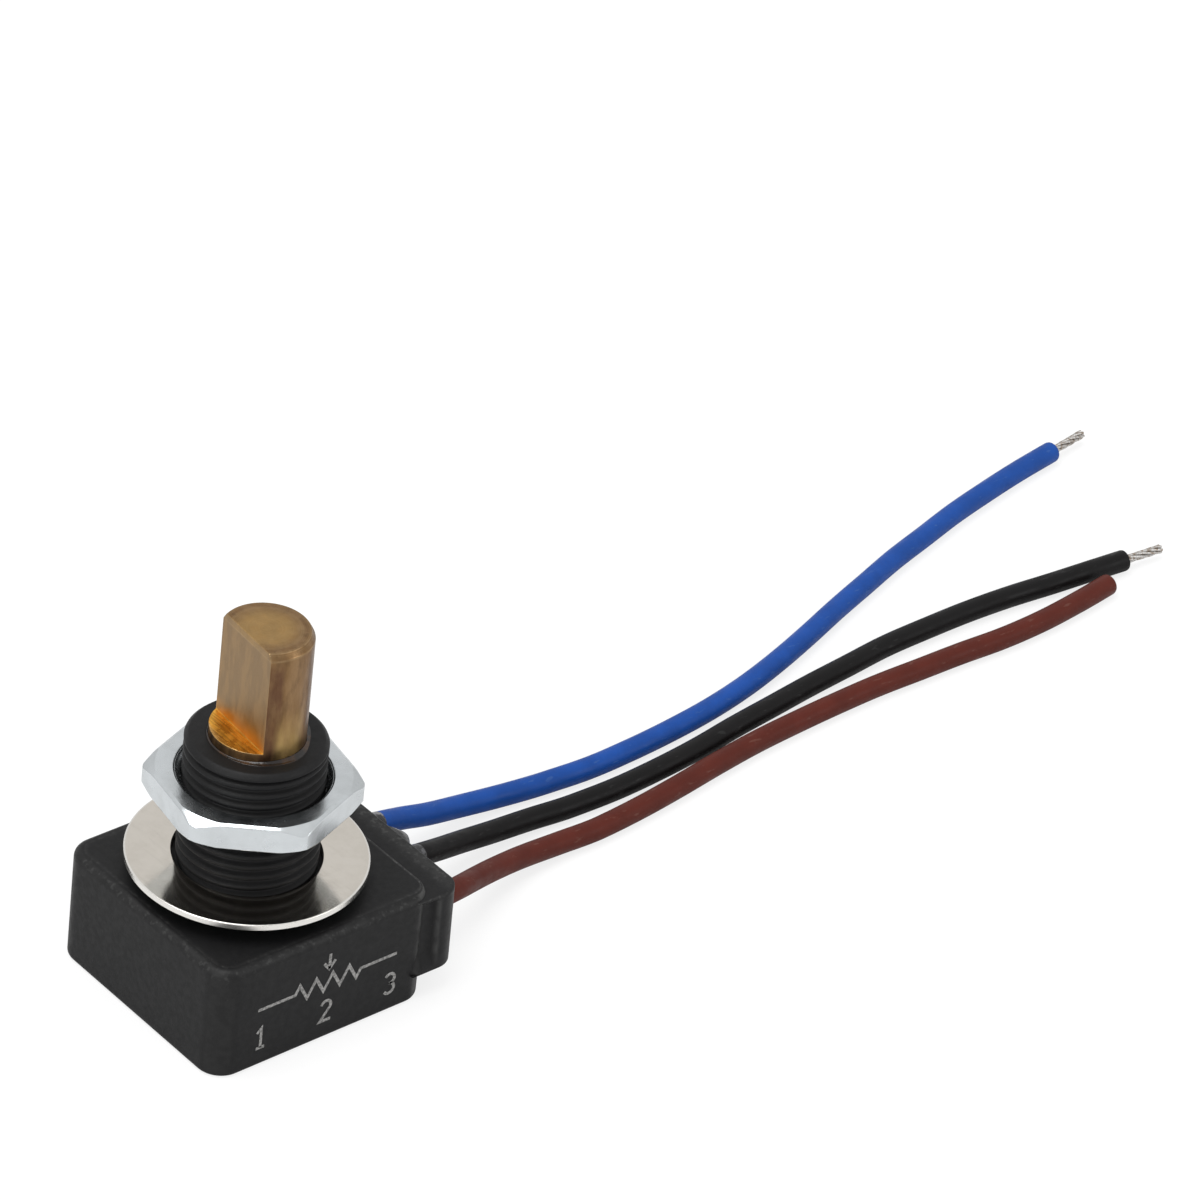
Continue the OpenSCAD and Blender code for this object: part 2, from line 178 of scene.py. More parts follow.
def coords(stretch=(1, 1, 1), turn=0):
    # turn is in degrees round the shaft's axis
    where, turned = node("ShaderNodeTexCoord")["Object"], (0, 0, math.radians(turn))
    return node("ShaderNodeMapping", {"Vector": where, "Scale": stretch, "Rotation": turned})


def axes():
    return node("ShaderNodeSeparateXYZ", {0: coords()})


def fromAxis():
    at = axes()
    return calc("SQRT", calc("POWER", at["X"], 2.0) + calc("POWER", at["Y"], 2.0))


def noise(size, detail=3.0, rough=0.55, stretch=(1, 1, 1), turn=0):
    # size is the width of one blotch in millimetres
    return node("ShaderNodeTexNoise", {"Vector": coords(stretch, turn), "Scale": 1 / (size * mm),
                                       "Detail": detail, "Roughness": rough})


def circles(where, size):
    # noise in one direction only, as left by a lathe
    return node("ShaderNodeTexNoise", {"W": where * (1 / (size * mm)), "Scale": 1.0, "Detail": 2.0},
                noise_dimensions="1D")


def spread(value, a, b, c=0.0, d=1.0):
    return node("ShaderNodeMapRange", {0: value, 1: a, 2: b, 3: c, 4: d}, interpolation_type="SMOOTHSTEP")


def blotches(size, detail, a, b, c=0.0, d=1.0, **more):
    return spread(noise(size, detail, **more), a, b, c, d)


def mix(amount, a, b):
    tones = {key: tone if isinstance(tone, Value) else (*tone, 1) for key, tone in ((6, a), (7, b))}
    return node("ShaderNodeMix", {0: amount, **tones}, data_type="RGBA")[2]


def between(share, a, b):
    return node("ShaderNodeMix", {0: share, 2: a, 3: b}, data_type="FLOAT")


def scaled(tone, share):
    return [c * share for c in tone]


def layer(name):
    return node("ShaderNodeAttribute", attribute_name=name)["Fac"]


def bumped(height, strength, depth, under=None):
    wires = {"Height": height, "Strength": strength, "Distance": depth * mm}
    return node("ShaderNodeBump", {**wires, "Normal": under} if under else wires)


def newMaterial(name, base, rough, metal=0.0, **fixed):
    made = bpy.data.materials.new(name)
    made.use_nodes = True
    opened["tree"] = made.node_tree
    sockets = made.node_tree.nodes["Principled BSDF"].inputs
    for key, value in dict(Base_Color=(*base, 1), Roughness=rough, Metallic=metal, **fixed).items():
        sockets[key.replace("_", " ")].default_value = value
    return made


def surface(**wired):
    # wires the colour, roughness and normal of the material that is open
    sockets = opened["tree"].nodes["Principled BSDF"].inputs
    for key, value in wired.items():
        opened["tree"].links.new(value.socket, sockets[key.replace("_", " ")])


def openTree(name, **inputs):
    # a geometry tree, with the names of its inputs for each kind
    tree = opened["tree"] = bpy.data.node_groups.new(name, "GeometryNodeTree")
    tree.interface.new_socket("Geometry", in_out="OUTPUT", socket_type="NodeSocketGeometry")
    for kind, names in inputs.items():
        for key in names:
            tree.interface.new_socket(key, in_out="INPUT", socket_type="NodeSocket" + kind)
    return node("NodeGroupInput")


def closeTree(shape, material):
    real = node("GeometryNodeRealizeInstances", {"Geometry": shape})
    dressed = node("GeometryNodeSetMaterial", {"Geometry": real, "Material": material})
    node("NodeGroupOutput", {"Geometry": dressed})
    return opened["tree"]


def grown(name, tree, sharp, values):
    # runs a geometry tree and keeps its result as a plain mesh
    obj = placed(name, bpy.data.meshes.new(name))
    modifier = obj.modifiers.new("shape", "NODES")
    modifier.node_group = tree
    keys = {s.name: s.identifier for s in tree.interface.items_tree
            if s.item_type == "SOCKET" and s.in_out == "INPUT"}
    for key, value in values.items():
        modifier[keys[key]] = value
    graph = bpy.context.evaluated_depsgraph_get()
    result = bpy.data.meshes.new_from_object(obj.evaluated_get(graph), depsgraph=graph)
    obj.modifiers.clear()
    obj.data = result
    tidyFaces(result, sharp)
    return obj


# camera
view = Sizes(azimuth=-40.411, elevation=36.532, roll=-4.947, distance=429.78, lens=197.43, sensor=36,
             aim=(0, 0, 8.3), aimAcross=0.20444, aimDown=0.72629)


def addCamera(v):
    az, el, roll = (math.radians(a) for a in (v.azimuth, v.elevation, v.roll))
    back = Vector((math.sin(az) * math.cos(el), -math.cos(az) * math.cos(el), math.sin(el)))
    right = (-back).cross(Vector((0, 0, 1))).normalized()
    up = right.cross(-back)
    data = bpy.data.cameras.new("viewCamera")
    data.lens, data.sensor_width = v.lens, v.sensor
    data.clip_start, data.clip_end = 0.01, 10
    reach = v.sensor / v.lens
    aimRay = Vector(((v.aimAcross - 0.5) * reach, (0.5 - v.aimDown) * reach, -1)).normalized()
    swing = Vector((0, 0, -1)).rotation_difference(aimRay).to_matrix()
    toCamera = swing @ Matrix.Rotation(roll, 3, "Z") @ Matrix((right, up, back))
    where = Matrix.Translation((Vector(v.aim) + back * v.distance) * mm)
    scene.camera = placed("viewCamera", data)
    scene.camera.matrix_world = where @ toCamera.transposed().to_4x4()


addCamera(view)
print("camera placed")

# leads: insulation as tubes along the routes, bare tips as twisted strands
leads = Sizes(
    diameter=1.6, wall=0.38, height=3.9, start=sealLo[0] + 0.75, around=28, step=0.4, stripDepth=1.3,
    strands=7, strandDiameter=0.215, twistPerMm=62.0, splay=0.12,
    heights=[3.8, 3.48, 2.72, 1.99, 1.35, 0.95],  # of the first route points; the rest lie on the floor
    routes=dict(
        blue=Sizes(y=4.4, tip=3.7, points=[
            (13, 4.4), (15, 4.52), (17.5, 4.88), (20, 5.06), (23, 5.25), (26.5, 5.1), (30, 4.8), (34, 4.5),
            (38, 4.6), (42, 4.9), (46, 5.4), (50, 6.2), (54, 7.3), (58, 8.6), (62, 10), (66, 11.3),
            (70, 12.6), (74, 13.7), (78, 14.8), (82, 15.7), (86, 16.5), (90.3, 17.2)]),
        black=Sizes(y=0.0, tip=3.4, points=[
            (13, 0), (15, 0.22), (17.5, 0.78), (20, 1.36), (23, 1.75), (26.5, 1.9), (30, 1.7), (34, 1.6),
            (38, 1.8), (42, 2.2), (46, 2.8), (50, 3.3), (54, 3.8), (58, 4.2), (62, 4.6), (66, 4.7), (70, 4.7),
            (74, 4.5), (78, 4.1), (81.5, 3.8), (84.8, 3.5)]),
        brown=Sizes(y=-4.4, tip=0.3, points=[
            (13, -4.5), (15, -4.08), (17.5, -3.12), (20, -2.24), (23, -1.55), (26.5, -1.3), (30, -1.3),
            (34, -1), (38, -0.5), (42, 0.1), (46, 0.6), (50, 0.9), (54, 1.1), (58, 1.2), (62, 1.1), (66, 1),
            (70, 0.8), (74, 0.9), (78, 1.3), (81.6, 1.8)])))
leadRadius = leads.diameter / 2


def runAlong(path):
    return np.concatenate([[0], np.cumsum(np.linalg.norm(np.diff(path, axis=0), axis=1))])


def splineThrough(points, step):
    # evenly spaced points on a smooth curve through the given ones
    p = np.asarray(points, float)
    p = np.vstack([2 * p[0] - p[1], p, 2 * p[-1] - p[-2]])
    t = np.linspace(0, 1, 24, endpoint=False)[:, None]
    fine = []
    for a, b, c, d in zip(p[:-3], p[1:-2], p[2:-1], p[3:]):
        fine.append(0.5 * (2 * b + (c - a) * t + (2 * a - 5 * b + 4 * c - d) * t ** 2
                           + (3 * b - a - 3 * c + d) * t ** 3))
    fine = np.vstack(fine + [p[-2:-1]])
    run = runAlong(fine)
    want = np.linspace(0, run[-1], int(round(run[-1] / step)) + 1)
    return np.stack([np.interp(want, run, fine[:, k]) for k in range(3)], 1), run[-1]


def headings(path):
    t = np.gradient(path, axis=0)
    t /= np.linalg.norm(t, axis=1)[:, None]
    side = np.cross([0, 0, 1.0], t)
    side /= np.linalg.norm(side, axis=1)[:, None]
    return t, side, np.cross(t, side)


def ringsAlong(path, turn, rows):
    # rows of a place on the path, a radius and a shift along it
    t, side, up = headings(path)
    return [path[i] + shift * t[i] + np.broadcast_to(r, len(turn))[:, None]
            * (np.cos(turn)[:, None] * side[i] + np.sin(turn)[:, None] * up[i]) for i, r, shift in rows]


def insulation(name, path, v):
    inner, last = leadRadius - v.wall, len(path) - 1
    rows = [(i, leadRadius, 0) for i in range(last)]
    rows += [(last, leadRadius, -0.16), (last, leadRadius - 0.03, -0.05), (last, leadRadius - 0.10, -0.004),
             (last, inner + 0.08, 0), (last, inner, -0.06), (last, inner - 0.02, -v.stripDepth)]
    run = runAlong(path)
    return loft(name, ringsAlong(path, allRound(v.around), rows), sharp=50,
                along=[run[i] + shift for i, r, shift in rows])


def strandTree():
    given = openTree("twistedStrands", Int=["Strands"], Vector=["Start", "End", "Side", "Up"],
                     Float=["Strand radius", "Twist", "Splay"], Material=["Metal"])
    line = node("GeometryNodeCurvePrimitiveLine", {"Start": given["Start"], "End": given["End"]})
    fine = node("GeometryNodeResampleCurve", {"Curve": line, "Count": 26})
    wires = {"Geometry": fine, "Amount": given["Strands"]}
    copies = node("GeometryNodeDuplicateElements", wires, domain="SPLINE")
    share = node("GeometryNodeSplineParameter")["Factor"]
    which = copies["Duplicate Index"]
    wander = node("FunctionNodeRandomValue", {"Min": -0.16, "Max": 0.16, "ID": which, "Seed": 5},
                  data_type="FLOAT")[1]
    angle = (which - 1.0) * (2 * math.pi / (given["Strands"] - 1.0)) + (share * given["Twist"] + wander)
    outside = calc("MINIMUM", which, 1.0)  # the first strand runs down the middle
    reach = given["Strand radius"] * 2.0 * (outside * (calc("POWER", share, 3.0) * given["Splay"] + 1.0))
    parts = [node("ShaderNodeVectorMath", {0: given[way], "Scale": reach * calc(wave, angle)},
                  operation="SCALE") for way, wave in (("Side", "COSINE"), ("Up", "SINE"))]
    offset = node("ShaderNodeVectorMath", dict(enumerate(parts)), operation="ADD")
    moved = node("GeometryNodeSetPosition", {"Geometry": copies, "Offset": offset})
    section = node("GeometryNodeCurvePrimitiveCircle", {"Resolution": 10, "Radius": given["Strand radius"]})
    wires = {"Curve": moved, "Profile Curve": section, "Fill Caps": True}
    return closeTree(node("GeometryNodeCurveToMesh", wires), given["Metal"])


def insulationMaterial(name, base, pale, rough=0.42):
    made = newMaterial(name, base, rough, Specular_IOR_Level=0.15)
    tone = mix(blotches(2.2, 4, 0.3, 0.7), base, scaled(base, 1.22))
    wave = bumped(noise(1.9, 2), 0.5, 0.09)
    surface(Base_Color=mix(blotches(0.35, 3, 0.62, 0.72, 0, 0.5, stretch=(0.25, 1, 1)), tone, pale),
            Roughness=blotches(0.6, 4, 0.3, 0.7, rough - 0.07, rough + 0.1, stretch=(0.3, 1, 1)),
            Normal=bumped(noise(0.22, 3, stretch=(0.35, 1, 1)), 0.35, 0.02, wave))
    return made


tinned = newMaterial("tinnedCopper", (0.60, 0.58, 0.56), 0.32, 1.0)
surface(Base_Color=mix(blotches(0.25, 4, 0.45, 0.62), (0.60, 0.585, 0.565), (0.33, 0.27, 0.22)),
        Roughness=blotches(0.12, 3, 0.3, 0.7, 0.24, 0.5), Normal=bumped(noise(0.07, 2), 0.3, 0.01))
insulations = dict(
    blue=insulationMaterial("blueInsulation", (0.0085, 0.056, 0.262), (0.045, 0.11, 0.31)),
    black=insulationMaterial("blackInsulation", (0.0050, 0.0046, 0.0048), (0.03, 0.03, 0.03)),
    brown=insulationMaterial("brownInsulation", (0.075, 0.0130, 0.0078), (0.14, 0.06, 0.045)))
strands = strandTree()
leadPaths = {}
for name, way in leads.routes.items():
    heights = leads.heights + [leadRadius] * len(way.points)
    points = [(leads.start, way.y, leads.height), (houseHi[0] + 0.3, way.y, leads.height)]
    points += [(x, y, z) for (x, y), z in zip(way.points, heights)]
    path, length = splineThrough(points, leads.step)
    path[:, 2] = np.maximum(path[:, 2], leadRadius)
    leadPaths[name] = path
    jacket = insulation("insulation" + name.capitalize(), path, leads)
    finish(jacket, "case", name + "_insulation", insulations[name], "lead_" + name)
    t, side, up = (v[-1] for v in headings(path))
    start, end = path[-1] - t * (leads.stripDepth - 0.1), path[-1] + t * way.tip
    core = grown("strands" + name.capitalize(), strands, 40, {
        "Strands": leads.strands, "Start": start * mm, "End": end * mm, "Side": side, "Up": up,
        "Strand radius": leads.strandDiameter / 2 * mm, "Splay": leads.splay, "Metal": tinned,
        "Twist": math.radians(leads.twistPerMm * np.linalg.norm(end - start))})
    finish(core, "case", "tinned_wire", tinned, "core_" + name)
print("leads laid:", {k: len(p) for k, p in leadPaths.items()})

# moulded body
body = Sizes(x0=houseLo[0], x1=sealLo[0], halfWidth=8.6, top=8.4, corner=1.8, topEdge=0.6, foot=0.3,
             wall=1.2, roof=7.0, coverStep=0.5, coverDepth=1.0, seatRadius=6.2, seatTop=washerLo[2],
             mouth=houseHi[2], bore=3.205, coreRadius=4.2, collarRadius=4.715, collarHeight=0.46,
             mouthEdge=0.30, tight=0.38)  # tight makes the top edge beside the leads narrower


def moulding(name, base, rubbedAndHighlightTone):
    made = newMaterial(name, base, 0.5, Specular_IOR_Level=0.22)
    tone = mix(blotches(3.4, 3, 0.3, 0.7), base, scaled(base, 1.18))
    tone = mix(blotches(0.09, 2, 0.35, 0.7) * 0.45, tone, scaled(base, 1.5))
    tone = mix(blotches(0.16, 4, 0.66, 0.74, rough=0.7) * 0.5, tone, rubbedAndHighlightTone)
    # lighter along the marked edges: partly real rubbing, partly a painted highlight on them
    tone = mix(layer("wear") * blotches(0.7, 4, 0.35, 0.6, 0.45, 1.0), tone, rubbedAndHighlightTone)
    # light chips along the top edge, partly painted glints
    chipsAndGlints = spread(axes()["Z"], 7.5 * mm, 7.9 * mm) * blotches(0.34, 4, 0.52, 0.66)  # along the top edge only
    grain = bumped(noise(0.11, 3, 0.6), 0.55, 0.012, bumped(noise(6.0, 1), 0.4, 0.08))
    pits = node("ShaderNodeTexVoronoi", {"Vector": coords(), "Scale": 1 / (0.55 * mm), "Randomness": 1.0})
    surface(Base_Color=mix(layer("wear") * chipsAndGlints, tone, scaled(rubbedAndHighlightTone, 1.8)),
            Roughness=blotches(0.5, 4, 0.3, 0.7, 0.46, 0.56) - layer("wear") * 0.1,
            Normal=bumped(spread(pits, 0.05, 0.14), 0.35, 0.015, grain))
    return made


charcoal = moulding("charcoalMoulding", (0.0050, 0.0050, 0.0053), (0.052, 0.052, 0.051))


def outlineAngles(b, sideStep=0.42, cornerSteps=14):
    # directions from the shaft's axis to points round the body, closer together on its corners
    c, w, points = b.corner, b.halfWidth, []
    for sx, sy, a0 in ((1, 1, 0), (-1, 1, 90), (-1, -1, 180), (1, -1, 270)):
        points += arc(b.x1 - c if sx > 0 else b.x0 + c, sy * (w - c), c, a0, a0 + 90, cornerSteps)
    for a, z in (((b.x1, c - w), (b.x1, w - c)), ((b.x0, c - w), (b.x0, w - c)),
                 ((b.x0 + c, w), (b.x1 - c, w)), ((b.x0 + c, -w), (b.x1 - c, -w))):
        shares = np.linspace(0, 1, int(math.dist(a, z) / sideStep) + 1)[1:-1]
        points += [(a[0] + (z[0] - a[0]) * k, a[1] + (z[1] - a[1]) * k) for k in shares]
    return np.sort(np.array([math.atan2(y, x) for x, y in points]) % (2 * math.pi))


def outline(angles, x0, x1, w, r, z):
    # ring on an upright rounded rectangle, one point in each direction
    c, s = np.cos(angles), np.sin(angles)
    with np.errstate(divide="ignore"):
        reach = np.minimum(np.where(c > 0, x1, -x0) / np.abs(c), w / np.abs(s))
    cx, cy = np.where(c > 0, x1 - r, x0 + r), np.where(s > 0, w - r, r - w)
    across = c * cx + s * cy
    room = across ** 2 - cx ** 2 - cy ** 2 + r ** 2
    onArc = across + np.sqrt(np.maximum(room, 0))
    inCorner = (room > 0) & (np.abs(c * onArc) >= np.abs(cx)) & (np.abs(s * onArc) >= np.abs(cy))
    return ringAt(angles, np.where(inCorner, onArc, reach), z)


def caseShell(b):
    a = outlineAngles(b)
    rings, wear = [], []

    def circular(*rows):
        for r, z, *w in rows:
            rings.append(ringAt(a, r, z))
            wear.append(w[0] if w else 0)

    def square(*rows, tight=1.0):
        for inset, z, *w in rows:
            rings.append(outline(a, b.x0 + inset, b.x1 - inset * tight, b.halfWidth - inset,
                                 max(b.corner - inset, 0.8), z))
            wear.append(w[0] if w else 0)

    top, mouth, seat, low, e = b.top, b.mouth, b.seatTop, b.mouth - b.collarHeight, b.topEdge
    bore, core, seatR, collar = b.bore, b.coreRadius, b.seatRadius, b.collarRadius
    rim, shoulder = collar - b.mouthEdge, mouth - b.mouthEdge
    # up the bore, over the mouth, down the collar's groove and out over the seat to the top
    circular((bore, b.roof + 0.15), (bore, 9.0), (bore, mouth - 0.2), (bore + 0.03, mouth - 0.09),
             (bore + 0.075, mouth - 0.02, 0.2), (bore + 0.125, mouth, 0.1), (bore + 0.245, mouth),
             (rim - 0.16, mouth), (rim - 0.03, mouth - 0.006), (rim + 0.03, mouth - 0.035, 0.1),
             (collar - 0.03, shoulder + 0.02, 0.1), (collar, shoulder - 0.05), (collar, shoulder - 0.12),
             (collar, low + 0.03), (collar - 0.03, low), (collar - 0.12, low - 0.04), (core, low - 0.1),
             (core, seat + 0.02), (core + 0.1, seat), (seatR - 0.3, seat), (seatR - 0.18, seat, 0.1),
             (seatR - 0.08, seat - 0.03, 0.4), (seatR, seat - 0.1, 0.3), (seatR, seat - 0.2),
             (seatR, top + 0.2), (seatR + 0.05, top + 0.07), (seatR + 0.2, top), (seatR + 0.4, top))
    # round the top edge, down the outside, and back up inside to the roof
    # the top edge is lighter half way round its curve: edge wear plus a painted highlight
    square((e + 0.35, top), (e + 0.08, top, 0.8), *(
        (e - dx, top - e + dz, 0.15 + 0.8 * math.sin(math.pi * (k + 0.5) / 10) ** 2)
        for k, (dx, dz) in enumerate(arc(0, 0, e, 90, 0, 9))), tight=b.tight)
    upright = [(0, z) for z in np.linspace(top - e - 0.8, b.foot + 0.7, 8)]
    square((0, top - e - 0.12), *upright, (0, b.foot + 0.1))
    square(*((b.foot - dx, b.foot + dz, 0.35) for dx, dz in arc(0, 0, b.foot, 0, -90, 5)))
    step, deep = b.wall - b.coverStep, b.coverDepth
    square((b.foot + 0.1, 0), (step - 0.06, 0, 0.1), (step, 0.06, 0.1), (step, deep), (b.wall - 0.03, deep),
           (b.wall, deep + 0.05), (b.wall, b.roof - 0.25), (b.wall + 0.25, b.roof))
    circular((bore + 0.25, b.roof))
    middle, half = (b.x0 + b.x1) / 2, (b.x1 - b.x0) / 2
    for i, ring in enumerate(rings):
        # painted highlight down the upright corners, strongest on the one beside the leads
        pastX = np.maximum(np.abs(ring[:, 0] - middle) - (half - b.corner), 0)
        pastY = np.maximum(np.abs(ring[:, 1]) - (b.halfWidth - b.corner), 0)
        cornerHighlight = smooth(0.3, 0.7, np.minimum(pastX, pastY)) * np.where(ring[:, 0] > middle, 1.0, 0.15)
        upright = (ring[:, 2] > 0.3) & (ring[:, 2] < top - 0.02) & (np.hypot(pastX, pastY) > 0.5)
        # the edges beside the leads are lighter still: more painted highlight there
        nearLeads = smooth(b.x1 - 1.2, b.x1 - 0.5, ring[:, 0])
        wear[i] = np.maximum(wear[i] * (0.22 + 0.78 * nearLeads), cornerHighlight * upright)
    return loft("caseShell", rings, loop=True, wear=wear)


finish(caseShell(body), "case", "moulding", charcoal, "housing")

# stop post under the roof, which the rotor's lug strikes
stopPost = Sizes(inner=5.2, outer=6.4, halfAngle=18, bottom=4.6, top=7.1)
section = [(stopPost.inner, stopPost.bottom), (stopPost.outer, stopPost.bottom),
           (stopPost.outer, stopPost.top), (stopPost.inner, stopPost.top)]
turns = np.radians(np.linspace(-stopPost.halfAngle, stopPost.halfAngle, 13))
post = loft("stopPost", [[(r * math.cos(a), r * math.sin(a), z) for r, z in section] for a in turns],
            wear=[0.0] * len(turns))
finish(post, "case", "moulding", charcoal)
print("body moulded")

# marking on the side: the symbol of an adjustable resistor over the numbers of its terminals
marking = Sizes(width=0.23, rise=0.012, symbolZ=4.65, numbersZ=2.3, height=1.6, span=(-5.2, 6.2), teeth=4,
                toothHeight=0.62, body=(-2.2, 3.2), arrowGap=0.45, arrowLength=1.2, barb=(0.46, 0.56))


def strokes(v):
    # lines in x and z, as a pen would draw them
    (a, z), (x0, x1) = v.span, v.body
    level, tall, mid, h = v.symbolZ, v.toothHeight, (x0 + x1) / 2, v.height / 2
    step, tip = (x1 - x0) / v.teeth / 2, level + tall + v.arrowGap
    zigzag = [(x0 + step * (k + 0.5), level + (tall if k % 2 == 0 else -tall)) for k in range(2 * v.teeth)]
    lines = [[(a, level), (x0, level)] + zigzag + [(x1, level), (z, level)],
             [(mid, tip + v.arrowLength), (mid, tip)],
             [(mid - v.barb[0], tip + v.barb[1]), (mid, tip), (mid + v.barb[0], tip + v.barb[1])]]
    one = [[(-0.34, 0.55 * h), (0, h), (0, -h)], [(-0.34, -h), (0.34, -h)]]
    two = [arc(0, 0.5 * h, 0.5 * h, 165, -40, 9) + [(-0.42, -h), (0.46, -h)]]
    three = [arc(0, 0.5 * h, 0.5 * h, 150, -90, 9), arc(0, -0.48 * h, 0.52 * h, 90, -150, 9)]
    for x, figure in ((a + 0.4, one), (mid, two), (z - 0.4, three)):
        lines += [[(x + px, v.numbersZ + pz) for px, pz in line] for line in figure]
    return lines


def sideMarking(v):
    verts, faces = [], []
    outer, inner = -body.halfWidth - v.rise, -body.halfWidth + 0.02

    def unit(vectors):
        return vectors / np.linalg.norm(vectors, axis=1)[:, None]

    for line in strokes(v):
        p = np.array(line)
        before = unit(np.vstack([p[1] - p[0], np.diff(p, axis=0)]))
        after = unit(np.vstack([np.diff(p, axis=0), p[-1] - p[-2]]))
        bisect = unit(before + after)
        side = np.stack([-bisect[:, 1], bisect[:, 0]], 1)
        reach = v.width / 2 / np.maximum(np.sum(bisect * after, axis=1), 0.45)
        left, right = p + side * reach[:, None], p - side * reach[:, None]
        n, first = len(p), len(verts)
        for points, y in ((left, outer), (right, outer), (right, inner), (left, inner)):
            verts += [(x, y, z) for x, z in points]
        ends = [first + q * n for q in range(4)]
        sides = list(zip(ends, ends[1:] + ends[:1]))
        faces += [(u + k, u + k + 1, w + k + 1, w + k) for k in range(n - 1) for u, w in sides]
        faces += [tuple(ends), tuple(e + n - 1 for e in reversed(ends))]
    return meshObject("sideMarking", verts, faces, sharp=30)


markGrey = newMaterial("laserMark", (0.23, 0.228, 0.22), 0.7, Specular_IOR_Level=0.2)
surface(Base_Color=mix(blotches(0.16, 3, 0.35, 0.65), (0.15, 0.148, 0.144), (0.36, 0.355, 0.345)),
        Normal=bumped(noise(0.08, 2), 0.5, 0.01))
finish(sideMarking(marking), "case", "moulding", markGrey)
print("marking")

# block that the leads come out of
block = Sizes(x0=sealLo[0] - 1.6, x1=houseHi[0], halfWidth=houseHi[1], z0=2.1, z1=8.1, innerCorner=0.14,
              outerCorner=1.6, topEdge=0.2, bottomEdge=0.12, bottomCurve=0.38, flow=(7.6, 8.35),
              flowDepth=0.3, notchX=(9.0, 9.36), notchZ=(2.35, 3.9), notchDepth=0.36, draft=0.0024,
              pocketWall=1.7, pocketZ=(2.65, 7.1), pocketDepth=2.18)


def blockSection(w, z0, z1, rTop, rBottom, across=70, up=34, corner=6):
    # closed ring in y and z: along the bottom towards +y, up, and back over the top
    top, bottom = w - rTop, w - rBottom
    upright = np.linspace(z0 + rBottom, z1 - rTop, up + 1)
    pts = [(y, z0) for y in np.linspace(-bottom, bottom, across, endpoint=False)]
    pts += arc(bottom, z0 + rBottom, rBottom, -90, 0, corner)[:-1] + [(w, z) for z in upright[:-1]]
    pts += arc(top, z1 - rTop, rTop, 0, 90, corner)[:-1]
    pts += [(y, z1) for y in np.linspace(top, -top, across, endpoint=False)]
    pts += arc(-top, z1 - rTop, rTop, 90, 180, corner)[:-1] + [(-w, z) for z in upright[:0:-1]]
    pts += arc(-bottom, z0 + rBottom, rBottom, 180, 270, corner)[:-1]
    return np.array(pts)


def leadBlock(v):
    rings, wear = [], []

    def add(x, w, z0, z1, rTop, rBottom, rubAndHighlight=0.0):
        y, z = blockSection(w, z0, z1, rTop, rBottom).T
        onEnd = (np.abs(y) > w - 0.05) & (w > v.halfWidth - 1.3)
        # each end steps in beside the body and rises out to the full width lower down
        tall = smooth(*v.notchZ, z) * (1 - smooth(z1 - 0.5, z1 - 0.1, z))
        near, far = v.notchX
        lip = tall * smooth(near + 0.1, far - 0.05, x) * (1 - smooth(far, far + 0.3, x))
        rise = smooth(*v.flow, x)
        edge = smooth(z1 - rTop - 0.05, z1 - 0.02, z) * (1 - smooth(z1 - 0.02, z1, z))
        sunk = tall * (1 - smooth(near, far, x)) * v.notchDepth + (1 - rise) * v.flowDepth
        y = (y - np.sign(y) * np.where(onEnd, sunk, 0)) * (1 - v.draft * np.maximum(z - v.z0 - 0.4, 0))
        rings.append(np.stack([np.full(len(y), x), y, z], 1))
        # painted highlight on the lip of the step and on the slope where the block rises out of the body
        cornerHighlight = np.maximum(0.55 * lip, 1.6 * rise * (1 - rise)) * onEnd
        wear.append(np.maximum(np.maximum(rubAndHighlight, 0.35 * edge), cornerHighlight))

    def curve(x, r):
        # how far an edge of radius r has turned in at x
        drop = max(0.0, x - (v.x1 - r))
        return r - math.sqrt(max(r * r - drop * drop, 0))

    inner, outer, w, e = v.innerCorner, v.outerCorner, v.halfWidth, v.topEdge
    size = (v.z0, v.z1, e, v.bottomEdge)
    for x, y in arc(inner, w - inner, inner, 180, 90, 6):
        add(v.x0 + x, y, *size)
    for x in np.arange(v.x0 + inner + 0.05, v.x1 - outer - 0.02, 0.055):
        add(x, w, *size)
    # the outer corner is lighter half way round its curve, a painted highlight
    for k, (x, y) in enumerate(arc(v.x1 - outer, w - outer, outer, 90, 0, 18)):
        add(x, y, v.z0 + curve(x, v.bottomCurve), v.z1 - curve(x, e), e, v.bottomEdge,
            0.35 * math.sin(math.radians(10 * k)) ** 2)
    pocketW, (p0, p1) = w - v.pocketWall, v.pocketZ
    for deep, wider, lower, higher, rubAndHighlight in ((0, 0.05, 0.03, 0.06, 0.1), (0.015, 0.015, 0.005, 0.02, 0.1),
                                            (0.06, 0, 0, 0, 0), (v.pocketDepth, 0, 0, 0, 0)):
        add(v.x1 - deep, pocketW + wider, p0 - lower, p1 + higher, 0.25, 0.25, rubAndHighlight)
    return loft("leadBlock", rings, wear=wear)


finish(leadBlock(block), "case", "moulding", charcoal, "housing")

# resin that fills the block and creeps up the leads
resin = Sizes(front=10.92, wallCreep=0.3, leadCreep=1.1, leadReach=0.6, swell=0.22, step=0.11, proud=1.7,
              leads=((4.4, 1.0, 1.0), (0.0, 1.25, 0.9), (-4.4, 0.9, 0.25)),  # place, creep, paleness
              run=Sizes(y=-0.8, z=6.65, wide=1.9, tall=0.6, height=1.95), collar=0.3,
              collars=dict(blue=(4.4, 0.45), black=(4.4, 0.2), brown=(1.4, 0.3)))  # reach, paleness


